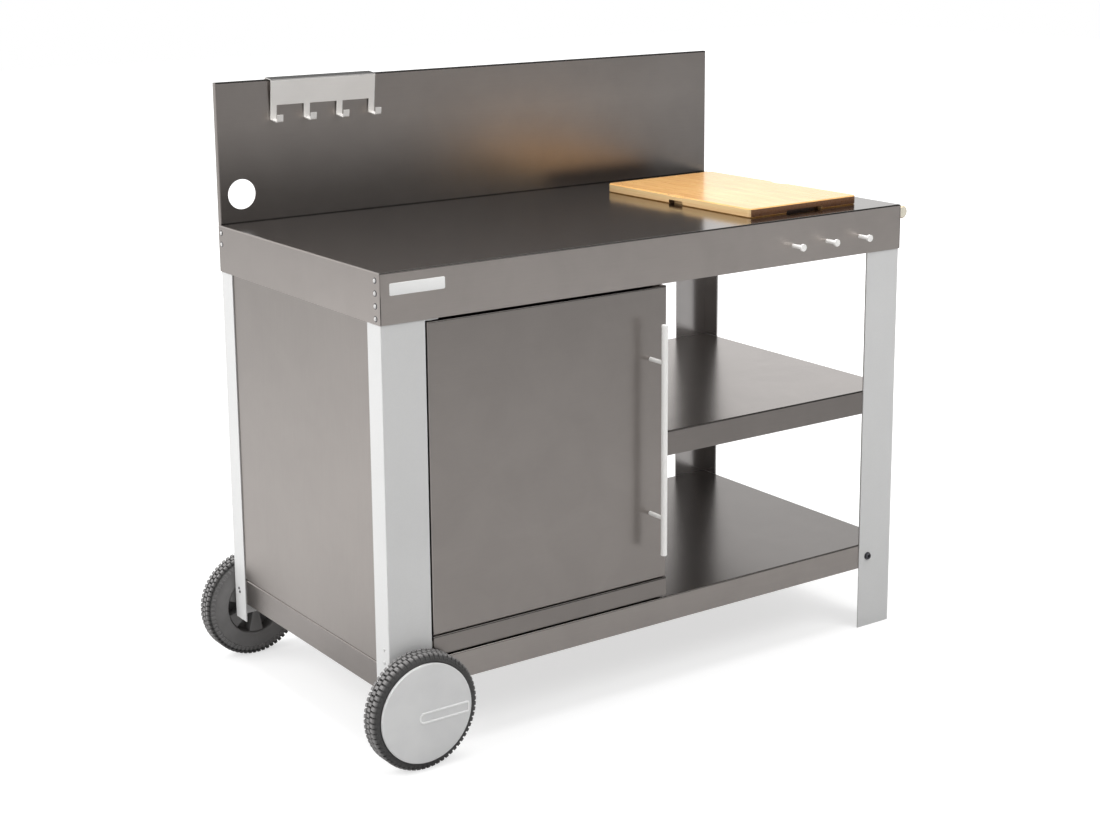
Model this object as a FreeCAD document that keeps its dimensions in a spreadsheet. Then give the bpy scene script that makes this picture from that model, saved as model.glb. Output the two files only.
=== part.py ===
import FreeCAD, Part
import os

import Sketcher
from FreeCAD import Placement, Rotation, Vector

# Grill cart with storage: a folded steel cart with a worktop, a backsplash, a cabinet with a
# hinged door, an open bay with a middle shelf, two wheels and a tow handle.
# Everything is laid out from the worktop's front left corner, projected to the floor: across
# to the right, deep to the back, up from the floor. The cart is then moved as a whole, so
# that the model's origin is the middle of its footprint.

doc = FreeCAD.newDocument("GrillCart")

# Driving dimensions in millimetres and degrees: name, value, meaning.
DIMENSIONS = [
    ("worktop_width", 1200, "worktop, left to right"),
    ("worktop_depth", 608, "worktop, front to back"),
    ("worktop_height", 877, "worktop's top face above the floor"),
    ("rim_height", 89, "worktop's folded rim"),
    ("top_sheet", 1.5, "sheet of the worktop and the backsplash"),
    ("bend_inside", 1.5, "inside radius of every fold"),
    ("seam_inset", 1.5, "rim's corner seam from the side face"),
    ("seam_width", 0.6, "open width of the corner seam"),
    ("seam_depth", 1, "depth of the corner seam"),
    ("splash_rise", 269.5, "backsplash above the worktop"),
    ("splash_thickness", 10, "folded depth of the backsplash"),
    ("splash_inset", 5, "backsplash's ends from the worktop's ends"),
    ("hose_hole", 58, "round hole in the backsplash"),
    ("hose_hole_across", 51.7, "hole's centre from the worktop's left end"),
    ("hose_hole_rise", 54.7, "hole's centre above the worktop"),
    ("leg_sheet", 2, "sheet of the legs"),
    ("leg_wide", 86, "leg flange on the front and the back"),
    ("leg_narrow", 45, "leg flange on the side"),
    ("left_leg_end", 92, "lower end of the left legs, above the floor"),
    ("shelf_sheet", 1.5, "sheet of the shelves and their uprights"),
    ("bottom_shelf_top", 179, "bottom shelf's top face"),
    ("bottom_shelf_rim", 50, "bottom shelf's folded rim"),
    ("middle_shelf_top", 505, "middle shelf's top face"),
    ("middle_shelf_rim", 47.5, "middle shelf's folded rim"),
    ("panel_sheet", 1.5, "sheet of the cabinet's panels and the door"),
    ("panel_depth", 20, "folded depth of the cabinet's panels"),
    ("divider_across", 607.5, "divider's right face"),
    ("divider_setback", 21, "divider's front edge from the worktop's front"),
    ("sill_height", 37.5, "fixed rail under the door"),
    ("sill_gap", 3.5, "open slit under the sill"),
    ("sill_lug_width", 16, "lug that joins the sill to the divider"),
    ("sill_lug_drop", 26, "drop of that lug"),
    ("sill_tab_width", 24, "tab's reach behind the front left leg"),
    ("sill_tab_height", 20, "height of that tab"),
    ("door_depth", 18, "folded depth of the door"),
    ("door_left_gap", 4, "door's left edge from the leg"),
    ("door_right_gap", 0.9, "door's right edge from the divider's right face"),
    ("door_top_gap", 4.8, "door's top edge from the worktop's rim"),
    ("pivot_inset", 10, "hinge axis from the door's left edge and from its face"),
    ("pivot_pin", 6, "hinge pin"),
    ("pivot_head", 10, "hinge pin's head"),
    ("pivot_head_height", 1.5, "hinge pin's head"),
    ("pivot_reach", 12, "hinge pin's length in the bush"),
    ("running_clearance", 0.05, "hinge pin in its bush, on the radius"),
    ("bush_diameter", 9, "hinge bush"),
    ("bush_length", 8, "hinge bush in the door"),
    ("bush_proud", 1.3, "bush beyond the door, as its spacer"),
    ("bush_play_low", 0.3, "play under the door"),
    ("bush_play_high", 0.5, "play over the door"),
    ("bracket_sheet", 2, "hinge bracket's plate"),
    ("bracket_depth", 21.5, "hinge bracket's plate, front to back"),
    ("bracket_overhang", 13.5, "plate beyond the hinge axis"),
    ("bracket_grip", 35, "bracket's upright flange on the leg"),
    ("bracket_height", 30, "height of that flange"),
    ("handle_diameter", 12, "door handle's bar"),
    ("handle_length", 440, "door handle's bar"),
    ("handle_low", 60.4, "bar's lower end from the door's lower edge"),
    ("handle_inset", 37.6, "bar's axis from the door's right edge"),
    ("handle_reach", 42, "bar's axis from the door's face"),
    ("handle_edge", 1.2, "bevel of the bar's ends"),
    ("post_diameter", 8, "door handle's posts"),
    ("post_spacing", 296, "distance between the posts"),
    ("catch_width", 16, "magnetic catch, left to right"),
    ("catch_depth", 13.5, "magnetic catch, front to back"),
    ("catch_height", 45, "magnetic catch, upright"),
    ("catch_up", 480, "lower end of the catch"),
    ("catch_foot", 16, "catch's foot behind the divider's flange"),
    ("catch_foot_sheet", 2, "thickness of that foot"),
    ("catch_gap", 0.4, "striker from the closed catch"),
    ("striker_sheet", 1.2, "striker's sheet"),
    ("striker_plate", 20, "striker's plate, left to right"),
    ("striker_foot", 11, "striker's foot on the door"),
    ("striker_height", 36, "striker, upright"),
    ("wheel_diameter", 210, "wheel over its lugs"),
    ("wheel_width", 38, "wheel"),
    ("wheel_gap", 4.5, "leg's face to the wheel's side"),
    ("axle_across", 47.5, "axle from the worktop's left end"),
    ("axle_diameter", 10, "axle"),
    ("axle_clearance", 0.06, "axle in the wheel, on the radius"),
    ("boss_diameter", 26, "wheel's hub boss"),
    ("boss_proud", 1, "hub boss beyond the wheel's inner side"),
    ("hub_recess", 90, "round recess in the wheel's outer side"),
    ("hub_recess_depth", 6, "depth of that recess"),
    ("shoulder_width", 5, "bevelled shoulder of the wheel"),
    ("lug_height", 3, "tread lugs above the tread's floor"),
    ("lug_length", 15, "a lug along the tread"),
    ("lug_count", 18, "lugs in each row"),
    ("lug_rows", 3, "rows of lugs side by side"),
    ("spoke_count", 6, "spokes on the wheel's inner side"),
    ("pocket_inner", 21, "pockets between the spokes, from the axle"),
    ("pocket_outer", 57, "their outer end"),
    ("pocket_half_inner", 4, "half their width at the inner end"),
    ("pocket_half_outer", 16.5, "half their width at the outer end"),
    ("pocket_depth", 24, "their depth"),
    ("cap_diameter", 180, "wheel cap"),
    ("cap_depth", 7, "wheel cap beyond the wheel's side"),
    ("washer_diameter", 22, "axle washer"),
    ("washer_thickness", 3, "washer between leg and wheel"),
    ("retainer_diameter", 18, "push-on retainer"),
    ("retainer_thickness", 3, "push-on retainer"),
    ("axle_proud", 1.5, "axle beyond the retainer"),
    ("hole_clearance", 0.1, "plain holes round their fasteners, on the radius"),
    ("tow_diameter", 25, "tow handle's bar"),
    ("tow_gap", 32, "clear gap between the bar and the rim"),
    ("tow_drop", 25, "bar's axis below the worktop's top face"),
    ("tow_inset", 37, "bar's ends from the worktop's front and back"),
    ("tow_edge", 2, "bevel of the bar's ends"),
    ("standoff_diameter", 14, "tow handle's stand-offs"),
    ("standoff_inset", 60, "stand-offs from the bar's ends"),
    ("peg_diameter", 8, "utensil pegs"),
    ("peg_head", 14, "peg's head"),
    ("peg_head_thickness", 4, "peg's head"),
    ("peg_length", 30, "peg, from the rim to its end"),
    ("peg_pitch", 87.3, "from peg to peg"),
    ("peg_inset", 111, "last peg from the worktop's right end"),
    ("peg_drop", 53, "pegs below the worktop's top face"),
    ("peg_count", 3, "utensil pegs"),
    ("hook_rail_across", 117, "hook rail's left end"),
    ("hook_rail_width", 228, "hook rail"),
    ("hook_sheet", 1.5, "hook rail's strip"),
    ("hook_tilt", 6.5, "hook rail's lean, its lower end to the back"),
    ("hook_flange", 27.7, "flange over the backsplash"),
    ("hook_lip", 14, "flange's rear lip"),
    ("hook_plate", 50, "plain part of the plate"),
    ("hook_drop", 78, "whole drop of the plate and the hooks"),
    ("hook_width", 13, "each hook"),
    ("hook_reach", 30, "hook, back to front"),
    ("hook_rise", 15, "hook's upturned end"),
    ("hook_count", 4, "hooks"),
    ("hook_seat", 0.2, "hooks from the backsplash's face"),
    ("board_width", 286, "cutting board, left to right"),
    ("board_length", 444, "cutting board, front to back"),
    ("board_thickness", 18, "cutting board"),
    ("board_across", 986, "board's centre from the worktop's left end"),
    ("board_deep", 276, "board's centre from the worktop's front"),
    ("board_turn", 1.4, "board lies a little askew"),
    ("board_corner", 10, "board's corner radius"),
    ("board_edge", 2, "bevel of the board's edges"),
    ("board_slot_length", 42, "finger slot under the board's sides"),
    ("board_slot_height", 8, "height of that slot"),
    ("board_slot_depth", 14, "depth of that slot"),
    ("board_groove_length", 95, "finger groove under the board's ends"),
    ("board_groove_height", 6, "height of that groove"),
    ("board_groove_depth", 12, "depth of that groove"),
    ("board_scoop_length", 56, "thumb scoop on the board's sides"),
    ("board_scoop_width", 11, "width of that scoop"),
    ("board_scoop_depth", 3, "depth of that scoop"),
]

sheet = doc.addObject("Spreadsheet::Sheet", "Dims")
for row, (name, size, meaning) in enumerate(DIMENSIONS, 1):
    sheet.set(f"A{row}", name)
    sheet.set(f"B{row}", str(size))
    sheet.setAlias(f"B{row}", name)
    sheet.set(f"C{row}", meaning)
doc.recompute()

# Places that follow from the driving dimensions, as expressions.
AXLE_UP = "(Dims.wheel_diameter / 2)"
TOW_REACH = "(Dims.worktop_width + Dims.tow_gap + Dims.tow_diameter)"
MIDDLE_ACROSS = f"(({TOW_REACH} + Dims.axle_across - {AXLE_UP}) / 2)"
MIDDLE_DEEP = "(Dims.worktop_depth / 2)"
UNDERSIDE = "(Dims.worktop_height - Dims.top_sheet)"
RIM_LOW = "(Dims.worktop_height - Dims.rim_height)"
INSIDE = "(Dims.top_sheet + Dims.leg_sheet)"
INSIDE_RIGHT = f"(Dims.worktop_width - {INSIDE})"
INSIDE_REAR = f"(Dims.worktop_depth - {INSIDE})"
FACE = "Dims.top_sheet"
SILL_LOW = "(Dims.bottom_shelf_top + Dims.sill_gap)"
SILL_TOP = f"({SILL_LOW} + Dims.sill_height)"
SILL_DEPTH = f"(Dims.divider_setback - {FACE})"
DOOR_LEFT = f"({FACE} + Dims.leg_wide + Dims.door_left_gap)"
DOOR_RIGHT = "(Dims.divider_across - Dims.door_right_gap)"
DOOR_WIDTH = f"({DOOR_RIGHT} - {DOOR_LEFT})"
DOOR_LOW = f"({SILL_TOP} + Dims.bush_play_low + Dims.bush_proud)"
DOOR_TOP = f"({RIM_LOW} - Dims.door_top_gap)"
DOOR_HEIGHT = f"({DOOR_TOP} - {DOOR_LOW})"
PIVOT_ACROSS = f"({DOOR_LEFT} + Dims.pivot_inset)"
PIVOT_DEEP = f"({FACE} + Dims.pivot_inset)"
BRACKET_LOW = f"({DOOR_TOP} + Dims.bush_proud + Dims.bush_play_high)"
WHEEL_SIDE = f"({FACE} - Dims.wheel_gap)"
LUG_ROW = "((Dims.wheel_width - 2 * Dims.shoulder_width) / Dims.lug_rows)"

# Directions that a folded face, a head or an axis points to.
FRONT = Rotation(Vector(1, 0, 0), Vector(0, 0, 1), Vector(0, -1, 0), "ZXY")
REAR = Rotation(Vector(-1, 0, 0), Vector(0, 0, 1), Vector(0, 1, 0), "ZXY")
LEFT = Rotation(Vector(0, -1, 0), Vector(0, 0, 1), Vector(-1, 0, 0), "ZXY")
RIGHT = Rotation(Vector(0, 1, 0), Vector(0, 0, 1), Vector(1, 0, 0), "ZXY")
UP = Rotation()
DOWN = Rotation(Vector(1, 0, 0), 180)

NEAR = 0.01
subparts = {}


def value(expression):
    """The number that an expression over the sheet gives."""
    result = sheet.evalExpression(expression)
    return float(getattr(result, "Value", result))


def place(thing, across, deep, up, facing=UP):
    """Turn a piece and put its local origin at a place on the cart."""
    thing.Placement = Placement(Vector(), facing)
    thing.setExpression("Placement.Base.x", f"{across} - {MIDDLE_ACROSS}")
    thing.setExpression("Placement.Base.y", f"{deep} - {MIDDLE_DEEP}")
    thing.setExpression("Placement.Base.z", up)
    return thing


def keep(label, thing):
    """Name a finished sub-part."""
    thing.Label = label
    subparts[label] = thing


def new_body(label):
    body = doc.addObject("PartDesign::Body", label)
    keep(label, body)
    return body


def new_sketch(body, role, offset="0", turn=None):
    """A sketch on one of the body's own planes, moved along the plane's normal."""
    sketch = body.newObject("Sketcher::SketchObject", "sketch")
    base_plane = next(item for item in body.Origin.OriginFeatures if item.Role == role)
    sketch.AttachmentSupport = (base_plane, [""])
    sketch.MapMode = "FlatFace"
    sketch.setExpression("AttachmentOffset.Base.z", offset)
    if turn:
        sketch.AttachmentOffset = Placement(Vector(), Rotation(Vector(0, 0, 1), 1))
        sketch.setExpression("AttachmentOffset.Rotation.Angle", turn)
    return sketch


def bind(sketch, expression, kind, *where):
    """Add a dimension to a sketch and bind it to an expression."""
    number = sketch.addConstraint(Sketcher.Constraint(kind, *where, value(expression)))
    sketch.renameConstraint(number, f"size_{number}")
    sketch.setExpression(f"Constraints.size_{number}", expression)


def pin_point(sketch, line, point, along, upward):
    """Hold a point of a sketch at two expressions from the sketch's origin."""
    if along == "0":
        sketch.addConstraint(Sketcher.Constraint("PointOnObject", line, point, -2))
    else:
        bind(sketch, along, "DistanceX", -1, 1, line, point)
    if upward == "0":
        sketch.addConstraint(Sketcher.Constraint("PointOnObject", line, point, -1))
    else:
        bind(sketch, upward, "DistanceY", -1, 1, line, point)


def add_polygon(sketch, corners):
    """A closed outline of straight lines through corners given as expressions."""
    first = sketch.GeometryCount
    spots = [Vector(value(along), value(upward), 0) for along, upward in corners]
    for spot, following in zip(spots, spots[1:] + spots[:1]):
        sketch.addGeometry(Part.LineSegment(spot, following), False)
    for number, (along, upward) in enumerate(corners):
        before = first + (number - 1) % len(corners)
        sketch.addConstraint(Sketcher.Constraint("Coincident", before, 2, first + number, 1))
        pin_point(sketch, first + number, 1, along, upward)
    return sketch


def add_circle(sketch, along, upward, diameter):
    centre = Vector(value(along), value(upward), 0)
    circle = Part.Circle(centre, Vector(0, 0, 1), value(diameter) / 2)
    number = sketch.addGeometry(circle, False)
    pin_point(sketch, number, 3, along, upward)
    bind(sketch, diameter, "Diameter", number)


def rectangle(left, low, right, top):
    return [(left, low), (right, low), (right, top), (left, top)]


def pad(body, sketch, length, backwards=False):
    feature = body.newObject("PartDesign::Pad", "pad")
    feature.Profile = sketch
    feature.setExpression("Length", length)
    feature.Reversed = backwards
    return feature


def revolve(body, sketch):
    feature = body.newObject("PartDesign::Revolution", "turning")
    feature.Profile = sketch
    feature.ReferenceAxis = (sketch, ["V_Axis"])
    feature.Angle = 360
    return feature


def pocket(body, sketch, depth=None, backwards=False):
    """Cut a sketch into the body, right through it where no depth is given."""
    doc.recompute()
    volume = body.Tip.Shape.Volume
    feature = body.newObject("PartDesign::Pocket", "pocket")
    feature.Profile = sketch
    if depth is None:
        feature.Type = 1
        feature.Midplane = True
    else:
        feature.setExpression("Length", depth)
        feature.Reversed = backwards
    doc.recompute()
    if not feature.Shape.Volume < volume:
        raise RuntimeError(f"a pocket of {body.Label} cuts nothing")
    return feature


def drill(body, role, holes, depth=None, offset="0", backwards=False):
    """Round holes square to one of the body's planes: place along, place up, diameter."""
    sketch = new_sketch(body, role, offset)
    for along, upward, diameter in holes:
        add_circle(sketch, along, upward, diameter)
    return pocket(body, sketch, depth, backwards)


def lies_at(**where):
    """A test for edges and faces that lie wholly at the given local coordinates."""
    def test(shape):
        box = shape.BoundBox
        spans = {"x": (box.XMin, box.XMax), "y": (box.YMin, box.YMax), "z": (box.ZMin, box.ZMax)}
        return all(abs(end - spot) < NEAR for axis, spot in where.items() for end in spans[axis])
    return test


def ring_at(radius, height):
    """A test for the round edges of a turned piece."""
    def test(edge):
        box = edge.BoundBox
        level = max(abs(box.ZMin - height), abs(box.ZMax - height)) < NEAR
        return level and abs(box.XMax - radius) < NEAR
    return test


def picked(feature, kind, test):
    doc.recompute()
    found = getattr(feature.Shape, kind + "s")
    return [f"{kind}{number}" for number, shape in enumerate(found, 1) if test(shape)]


def round_edges(body, radius, test):
    base = body.Tip
    names = picked(base, "Edge", test)
    feature = body.newObject("PartDesign::Fillet", "rounding")
    feature.Base = (base, names)
    feature.setExpression("Radius", radius)
    return feature


def bevel_edges(body, size, test):
    base = body.Tip
    names = picked(base, "Edge", test)
    feature = body.newObject("PartDesign::Chamfer", "bevel")
    feature.Base = (base, names)
    feature.setExpression("Size", size)
    return feature


def repeat_round(body, feature, sketch, count):
    """Copies of a feature round the sketch's normal."""
    pattern = body.newObject("PartDesign::PolarPattern", "ring")
    pattern.Originals = [feature]
    pattern.Axis = (sketch, ["N_Axis"])
    pattern.Angle = 360
    pattern.setExpression("Occurrences", count)
    body.Tip = pattern
    return pattern


def pan(label, length, width, depth, metal):
    """A folded tray: its face at the local z = 0, its four walls turned down."""
    body = new_body(label)
    outline = add_polygon(new_sketch(body, "XY_Plane"), rectangle("0", "0", length, width))
    pad(body, outline, depth, backwards=True)
    round_edges(body, f"{metal} + Dims.bend_inside", lies_at(z=0))
    base = body.Tip
    opening = picked(base, "Face", lies_at(z=-value(depth)))
    shell = body.newObject("PartDesign::Thickness", "shell")
    shell.Base = (base, opening)
    shell.setExpression("Value", metal)
    shell.Reversed = True
    shell.Mode = 0
    shell.Join = 0
    return body


def angle_post(label, wide, narrow, metal, height, to_right, to_rear):
    """An upright angle with its outside corner on the local z axis."""
    side = "" if to_right else "-"
    back = "" if to_rear else "-"
    body = new_body(label)
    corners = [
        ("0", "0"),
        (f"{side}({wide})", "0"),
        (f"{side}({wide})", f"{back}({metal})"),
        (f"{side}({metal})", f"{back}({metal})"),
        (f"{side}({metal})", f"{back}({narrow})"),
        ("0", f"{back}({narrow})"),
    ]
    pad(body, add_polygon(new_sketch(body, "XY_Plane"), corners), height)
    round_edges(body, metal, lies_at(x=0, y=0))
    return body


def turned(name, steps):
    """A round piece on the local z axis: low end, high end, diameter, end diameter."""
    pieces = []
    for low, high, diameter, *end in steps:
        kind = "Part::Cone" if end else "Part::Cylinder"
        piece = doc.addObject(kind, name + "_step")
        if end:
            piece.setExpression("Radius1", f"({diameter}) / 2")
            piece.setExpression("Radius2", f"({end[0]}) / 2")
        else:
            piece.setExpression("Radius", f"({diameter}) / 2")
        piece.setExpression("Height", f"({high}) - ({low})")
        piece.setExpression("Placement.Base.z", low)
        pieces.append(piece)
    if len(pieces) == 1:
        return pieces[0]
    whole = doc.addObject("Part::MultiFuse", name)
    whole.Shapes = pieces
    return whole


def cut(name, base, tool):
    whole = doc.addObject("Part::Cut", name)
    whole.Base = base
    whole.Tool = tool
    return whole


def cross_bar(name, diameter, height, turn):
    """A round bar across the local z axis, to cope the end of a post."""
    bar = doc.addObject("Part::Cylinder", name + "_cope")
    bar.Placement = Placement(Vector(), turn)
    bar.setExpression("Radius", f"{diameter} / 2")
    bar.setExpression("Height", f"2 * {diameter}")
    shift = turn.multVec(Vector(0, 0, -1))
    bar.setExpression("Placement.Base.x", f"{shift.x:.0f} * {diameter}")
    bar.setExpression("Placement.Base.y", f"{shift.y:.0f} * {diameter}")
    bar.setExpression("Placement.Base.z", height)
    return bar


def group(label, members):
    """Like pieces that share a sub-part, each a separate solid."""
    bundle = doc.addObject("Part::Compound", label)
    bundle.Links = members
    keep(label, bundle)


def hole_for(shank):
    return f"({shank} + 2 * Dims.hole_clearance)"


def peg_places():
    for number in range(int(value("Dims.peg_count"))):
        yield f"(Dims.worktop_width - Dims.peg_inset - {number} * Dims.peg_pitch)"


def standoff_deeps():
    yield "(Dims.tow_inset + Dims.standoff_inset)"
    yield "(Dims.worktop_depth - Dims.tow_inset - Dims.standoff_inset)"


def make_worktop():
    body = pan("worktop", "Dims.worktop_width", "Dims.worktop_depth", "Dims.rim_height",
               "Dims.top_sheet")
    seams = new_sketch(body, "XZ_Plane")
    inset, width = "Dims.seam_inset", "Dims.seam_width"
    low, high = "-Dims.rim_height", "-(Dims.top_sheet + Dims.bend_inside)"
    add_polygon(seams, rectangle(inset, low, f"{inset} + {width}", high))
    right = f"Dims.worktop_width - {inset}"
    add_polygon(seams, rectangle(f"{right} - {width}", low, right, high))
    pocket(body, seams, "Dims.seam_depth")
    place(body, "0", "0", "Dims.worktop_height")


def make_backsplash():
    body = pan("backsplash", "Dims.worktop_width - 2 * Dims.splash_inset",
               "Dims.rim_height + Dims.splash_rise", "Dims.splash_thickness", "Dims.top_sheet")
    drill(body, "XY_Plane", [("Dims.hose_hole_across - Dims.splash_inset",
                              "Dims.rim_height + Dims.hose_hole_rise", "Dims.hose_hole")])
    place(body, "Dims.splash_inset", "Dims.worktop_depth", RIM_LOW, FRONT)


def make_legs():
    """Four angles inside the worktop's rim, their upper ends clear of its bends."""
    for left in (True, False):
        for front in (True, False):
            label = f"leg_{'front' if front else 'rear'}_{'left' if left else 'right'}"
            end = "Dims.left_leg_end" if left else "0"
            body = angle_post(label, "Dims.leg_wide", "Dims.leg_narrow", "Dims.leg_sheet",
                              f"{UNDERSIDE} - Dims.bend_inside - {end}", left, front)
            if left:
                drill(body, "XZ_Plane", [(f"Dims.axle_across - {FACE}", f"{AXLE_UP} - {end}",
                                          hole_for("Dims.axle_diameter"))])
            corner_across = FACE if left else f"Dims.worktop_width - {FACE}"
            corner_deep = FACE if front else f"Dims.worktop_depth - {FACE}"
            place(body, corner_across, corner_deep, end)


def make_shelves():
    clear = f"Dims.worktop_depth - 2 * {INSIDE}"
    bottom = pan("bottom_shelf", f"Dims.worktop_width - 2 * {INSIDE}", clear,
                 "Dims.bottom_shelf_rim", "Dims.shelf_sheet")
    place(bottom, INSIDE, INSIDE, "Dims.bottom_shelf_top")
    middle = pan("middle_shelf", f"({INSIDE_RIGHT} - Dims.divider_across)", clear,
                 "Dims.middle_shelf_rim", "Dims.shelf_sheet")
    place(middle, "Dims.divider_across", INSIDE, "Dims.middle_shelf_top")


def make_uprights():
    wide = "(Dims.leg_wide - Dims.leg_sheet)"
    narrow = "(Dims.leg_narrow - Dims.leg_sheet)"
    lengths = {
        "lower": ("Dims.bottom_shelf_top", "(Dims.middle_shelf_top - Dims.middle_shelf_rim)"),
        "upper": ("Dims.middle_shelf_top", UNDERSIDE),
    }
    for side, front in (("front", True), ("rear", False)):
        for level, (low, high) in lengths.items():
            body = angle_post(f"upright_{side}_{level}", wide, narrow, "Dims.shelf_sheet",
                              f"{high} - {low}", False, front)
            place(body, INSIDE_RIGHT, INSIDE if front else INSIDE_REAR, low)


def make_cabinet():
    height = f"({UNDERSIDE} - Dims.bottom_shelf_top)"
    side = pan("side_panel", f"(Dims.worktop_depth - 2 * {INSIDE})", height, "Dims.panel_depth",
               "Dims.panel_sheet")
    place(side, INSIDE, INSIDE_REAR, "Dims.bottom_shelf_top", LEFT)

    divider = pan("divider", f"({INSIDE_REAR} - Dims.divider_setback)", height, "Dims.panel_depth",
                  "Dims.panel_sheet")
    place(divider, "Dims.divider_across", "Dims.divider_setback", "Dims.bottom_shelf_top", RIGHT)

    inner_bend = "(Dims.panel_sheet + Dims.bend_inside)"
    back_left = f"({INSIDE} + {inner_bend})"
    back_right = f"(Dims.divider_across - {inner_bend})"
    back = pan("cabinet_back", f"({back_right} - {back_left})", f"({height} - 2 * Dims.panel_sheet)",
               "Dims.panel_depth", "Dims.panel_sheet")
    place(back, back_right, f"{INSIDE_REAR} - Dims.panel_sheet",
          "Dims.bottom_shelf_top + Dims.panel_sheet", REAR)


def make_sill():
    """A channel in line with the door's face, with a tab behind the leg and a rear lug."""
    metal = "Dims.leg_sheet"
    body = new_body("door_sill")
    length = f"(Dims.divider_across - {DOOR_LEFT})"
    height = "Dims.sill_height"
    inner_top = f"{height} - {metal}"
    corners = [("0", "0"), (SILL_DEPTH, "0"), (SILL_DEPTH, metal), (metal, metal),
               (metal, inner_top), (SILL_DEPTH, inner_top), (SILL_DEPTH, height), ("0", height)]
    pad(body, add_polygon(new_sketch(body, "YZ_Plane"), corners), length)
    tall, thick = value(height), value(metal)
    for upward in (0, tall):
        round_edges(body, f"{metal} + Dims.bend_inside", lies_at(y=0, z=upward))
    for upward in (thick, tall - thick):
        round_edges(body, "Dims.bend_inside", lies_at(y=thick, z=upward))
    lug = new_sketch(body, "XZ_Plane", f"-{SILL_DEPTH}")
    add_polygon(lug, rectangle(f"{length} - Dims.sill_lug_width", f"{height} - Dims.sill_lug_drop",
                               length, height))
    pad(body, lug, metal)
    tab = new_sketch(body, "XZ_Plane", f"-2 * {metal}")
    low = f"({height} - Dims.sill_tab_height) / 2"
    add_polygon(tab, rectangle("-(Dims.door_left_gap + Dims.sill_tab_width)", low,
                               "Dims.sill_tab_width", f"{low} + Dims.sill_tab_height"))
    pad(body, tab, metal)
    pin_hole = [("Dims.pivot_inset", "Dims.pivot_inset", hole_for("Dims.pivot_pin"))]
    drill(body, "XY_Plane", pin_hole, f"{metal} + 1", height)
    place(body, DOOR_LEFT, FACE, SILL_LOW)


def make_door():
    body = pan("door", DOOR_WIDTH, DOOR_HEIGHT, "Dims.door_depth", "Dims.panel_sheet")
    drill(body, "XZ_Plane", [("Dims.pivot_inset", "-Dims.pivot_inset", hole_for("Dims.bush_diameter"))])
    place(body, DOOR_LEFT, FACE, DOOR_LOW, FRONT)


def post_rises():
    """The handle's posts above the door's lower edge."""
    middle = "(Dims.handle_low + Dims.handle_length / 2)"
    return [f"({middle} - Dims.post_spacing / 2)", f"({middle} + Dims.post_spacing / 2)"]


def make_handle():
    across = f"{DOOR_RIGHT} - Dims.handle_inset"
    body = new_body("door_handle")
    sketch = new_sketch(body, "XY_Plane")
    add_circle(sketch, "0", "0", "Dims.handle_diameter")
    pad(body, sketch, "Dims.handle_length")
    ends = (0, value("Dims.handle_length"))
    bevel_edges(body, "Dims.handle_edge", lambda edge: any(lies_at(z=end)(edge) for end in ends))
    place(body, across, f"{FACE} - Dims.handle_reach", f"{DOOR_LOW} + Dims.handle_low")

    posts = []
    for rise in post_rises():
        post = turned("post", [("0", "Dims.handle_reach", "Dims.post_diameter")])
        bar = cross_bar("post", "Dims.handle_diameter", "Dims.handle_reach",
                        Rotation(Vector(1, 0, 0), 90))
        posts.append(place(cut("post_coped", post, bar), across, FACE, f"{DOOR_LOW} + {rise}", FRONT))
    group("door_handle_posts", posts)


def make_hinge():
    pin = "Dims.pivot_pin"
    bore = f"({pin} + 2 * Dims.running_clearance)"
    bracket = new_body("hinge_bracket")
    reach = f"({PIVOT_ACROSS} + Dims.bracket_overhang - {bracket_left()})"
    plate = new_sketch(bracket, "XY_Plane")
    add_polygon(plate, rectangle("0", "0", reach, "Dims.bracket_depth"))
    pad(bracket, plate, "Dims.bracket_sheet")
    long_end, deep_end = value(reach), value("Dims.bracket_depth")
    corner = "Dims.bracket_depth / 3"
    round_edges(bracket, corner, lies_at(x=long_end, y=deep_end))
    flange = new_sketch(bracket, "XZ_Plane")
    add_polygon(flange, rectangle("0", "0", "Dims.bracket_grip", "Dims.bracket_height"))
    pad(bracket, flange, "Dims.bracket_sheet", backwards=True)
    drill(bracket, "XY_Plane", [(f"{PIVOT_ACROSS} - {bracket_left()}", f"{PIVOT_DEEP} - {INSIDE}",
                                 hole_for(pin))])
    place(bracket, bracket_left(), INSIDE, BRACKET_LOW)

    shank, head = "Dims.pivot_pin", "Dims.pivot_head"
    top = turned("top_pin", [("-Dims.pivot_reach", "Dims.bracket_sheet", shank),
                             ("Dims.bracket_sheet", "Dims.bracket_sheet + Dims.pivot_head_height",
                              head)])
    low = turned("low_pin", [("-Dims.leg_sheet - Dims.pivot_head_height", "-Dims.leg_sheet", head),
                             ("-Dims.leg_sheet", "Dims.pivot_reach", shank)])
    pins = [place(top, PIVOT_ACROSS, PIVOT_DEEP, BRACKET_LOW),
            place(low, PIVOT_ACROSS, PIVOT_DEEP, SILL_TOP)]
    group("hinge_pins", pins)

    bushes = []
    for up, facing in ((DOOR_TOP, UP), (DOOR_LOW, DOWN)):
        blank = turned("bush", [("-Dims.bush_length", "Dims.bush_proud", "Dims.bush_diameter")])
        hole = turned("bush_bore", [("-Dims.bush_length - 1", "Dims.bush_proud + 1", bore)])
        bushes.append(place(cut("bush_bored", blank, hole), PIVOT_ACROSS, PIVOT_DEEP, up, facing))
    group("door_bushes", bushes)


def bracket_left():
    """The bracket's left end: its flange ends a little before the leg's edge."""
    return f"({FACE} + Dims.leg_wide - Dims.door_left_gap / 2 - Dims.bracket_grip)"


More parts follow.
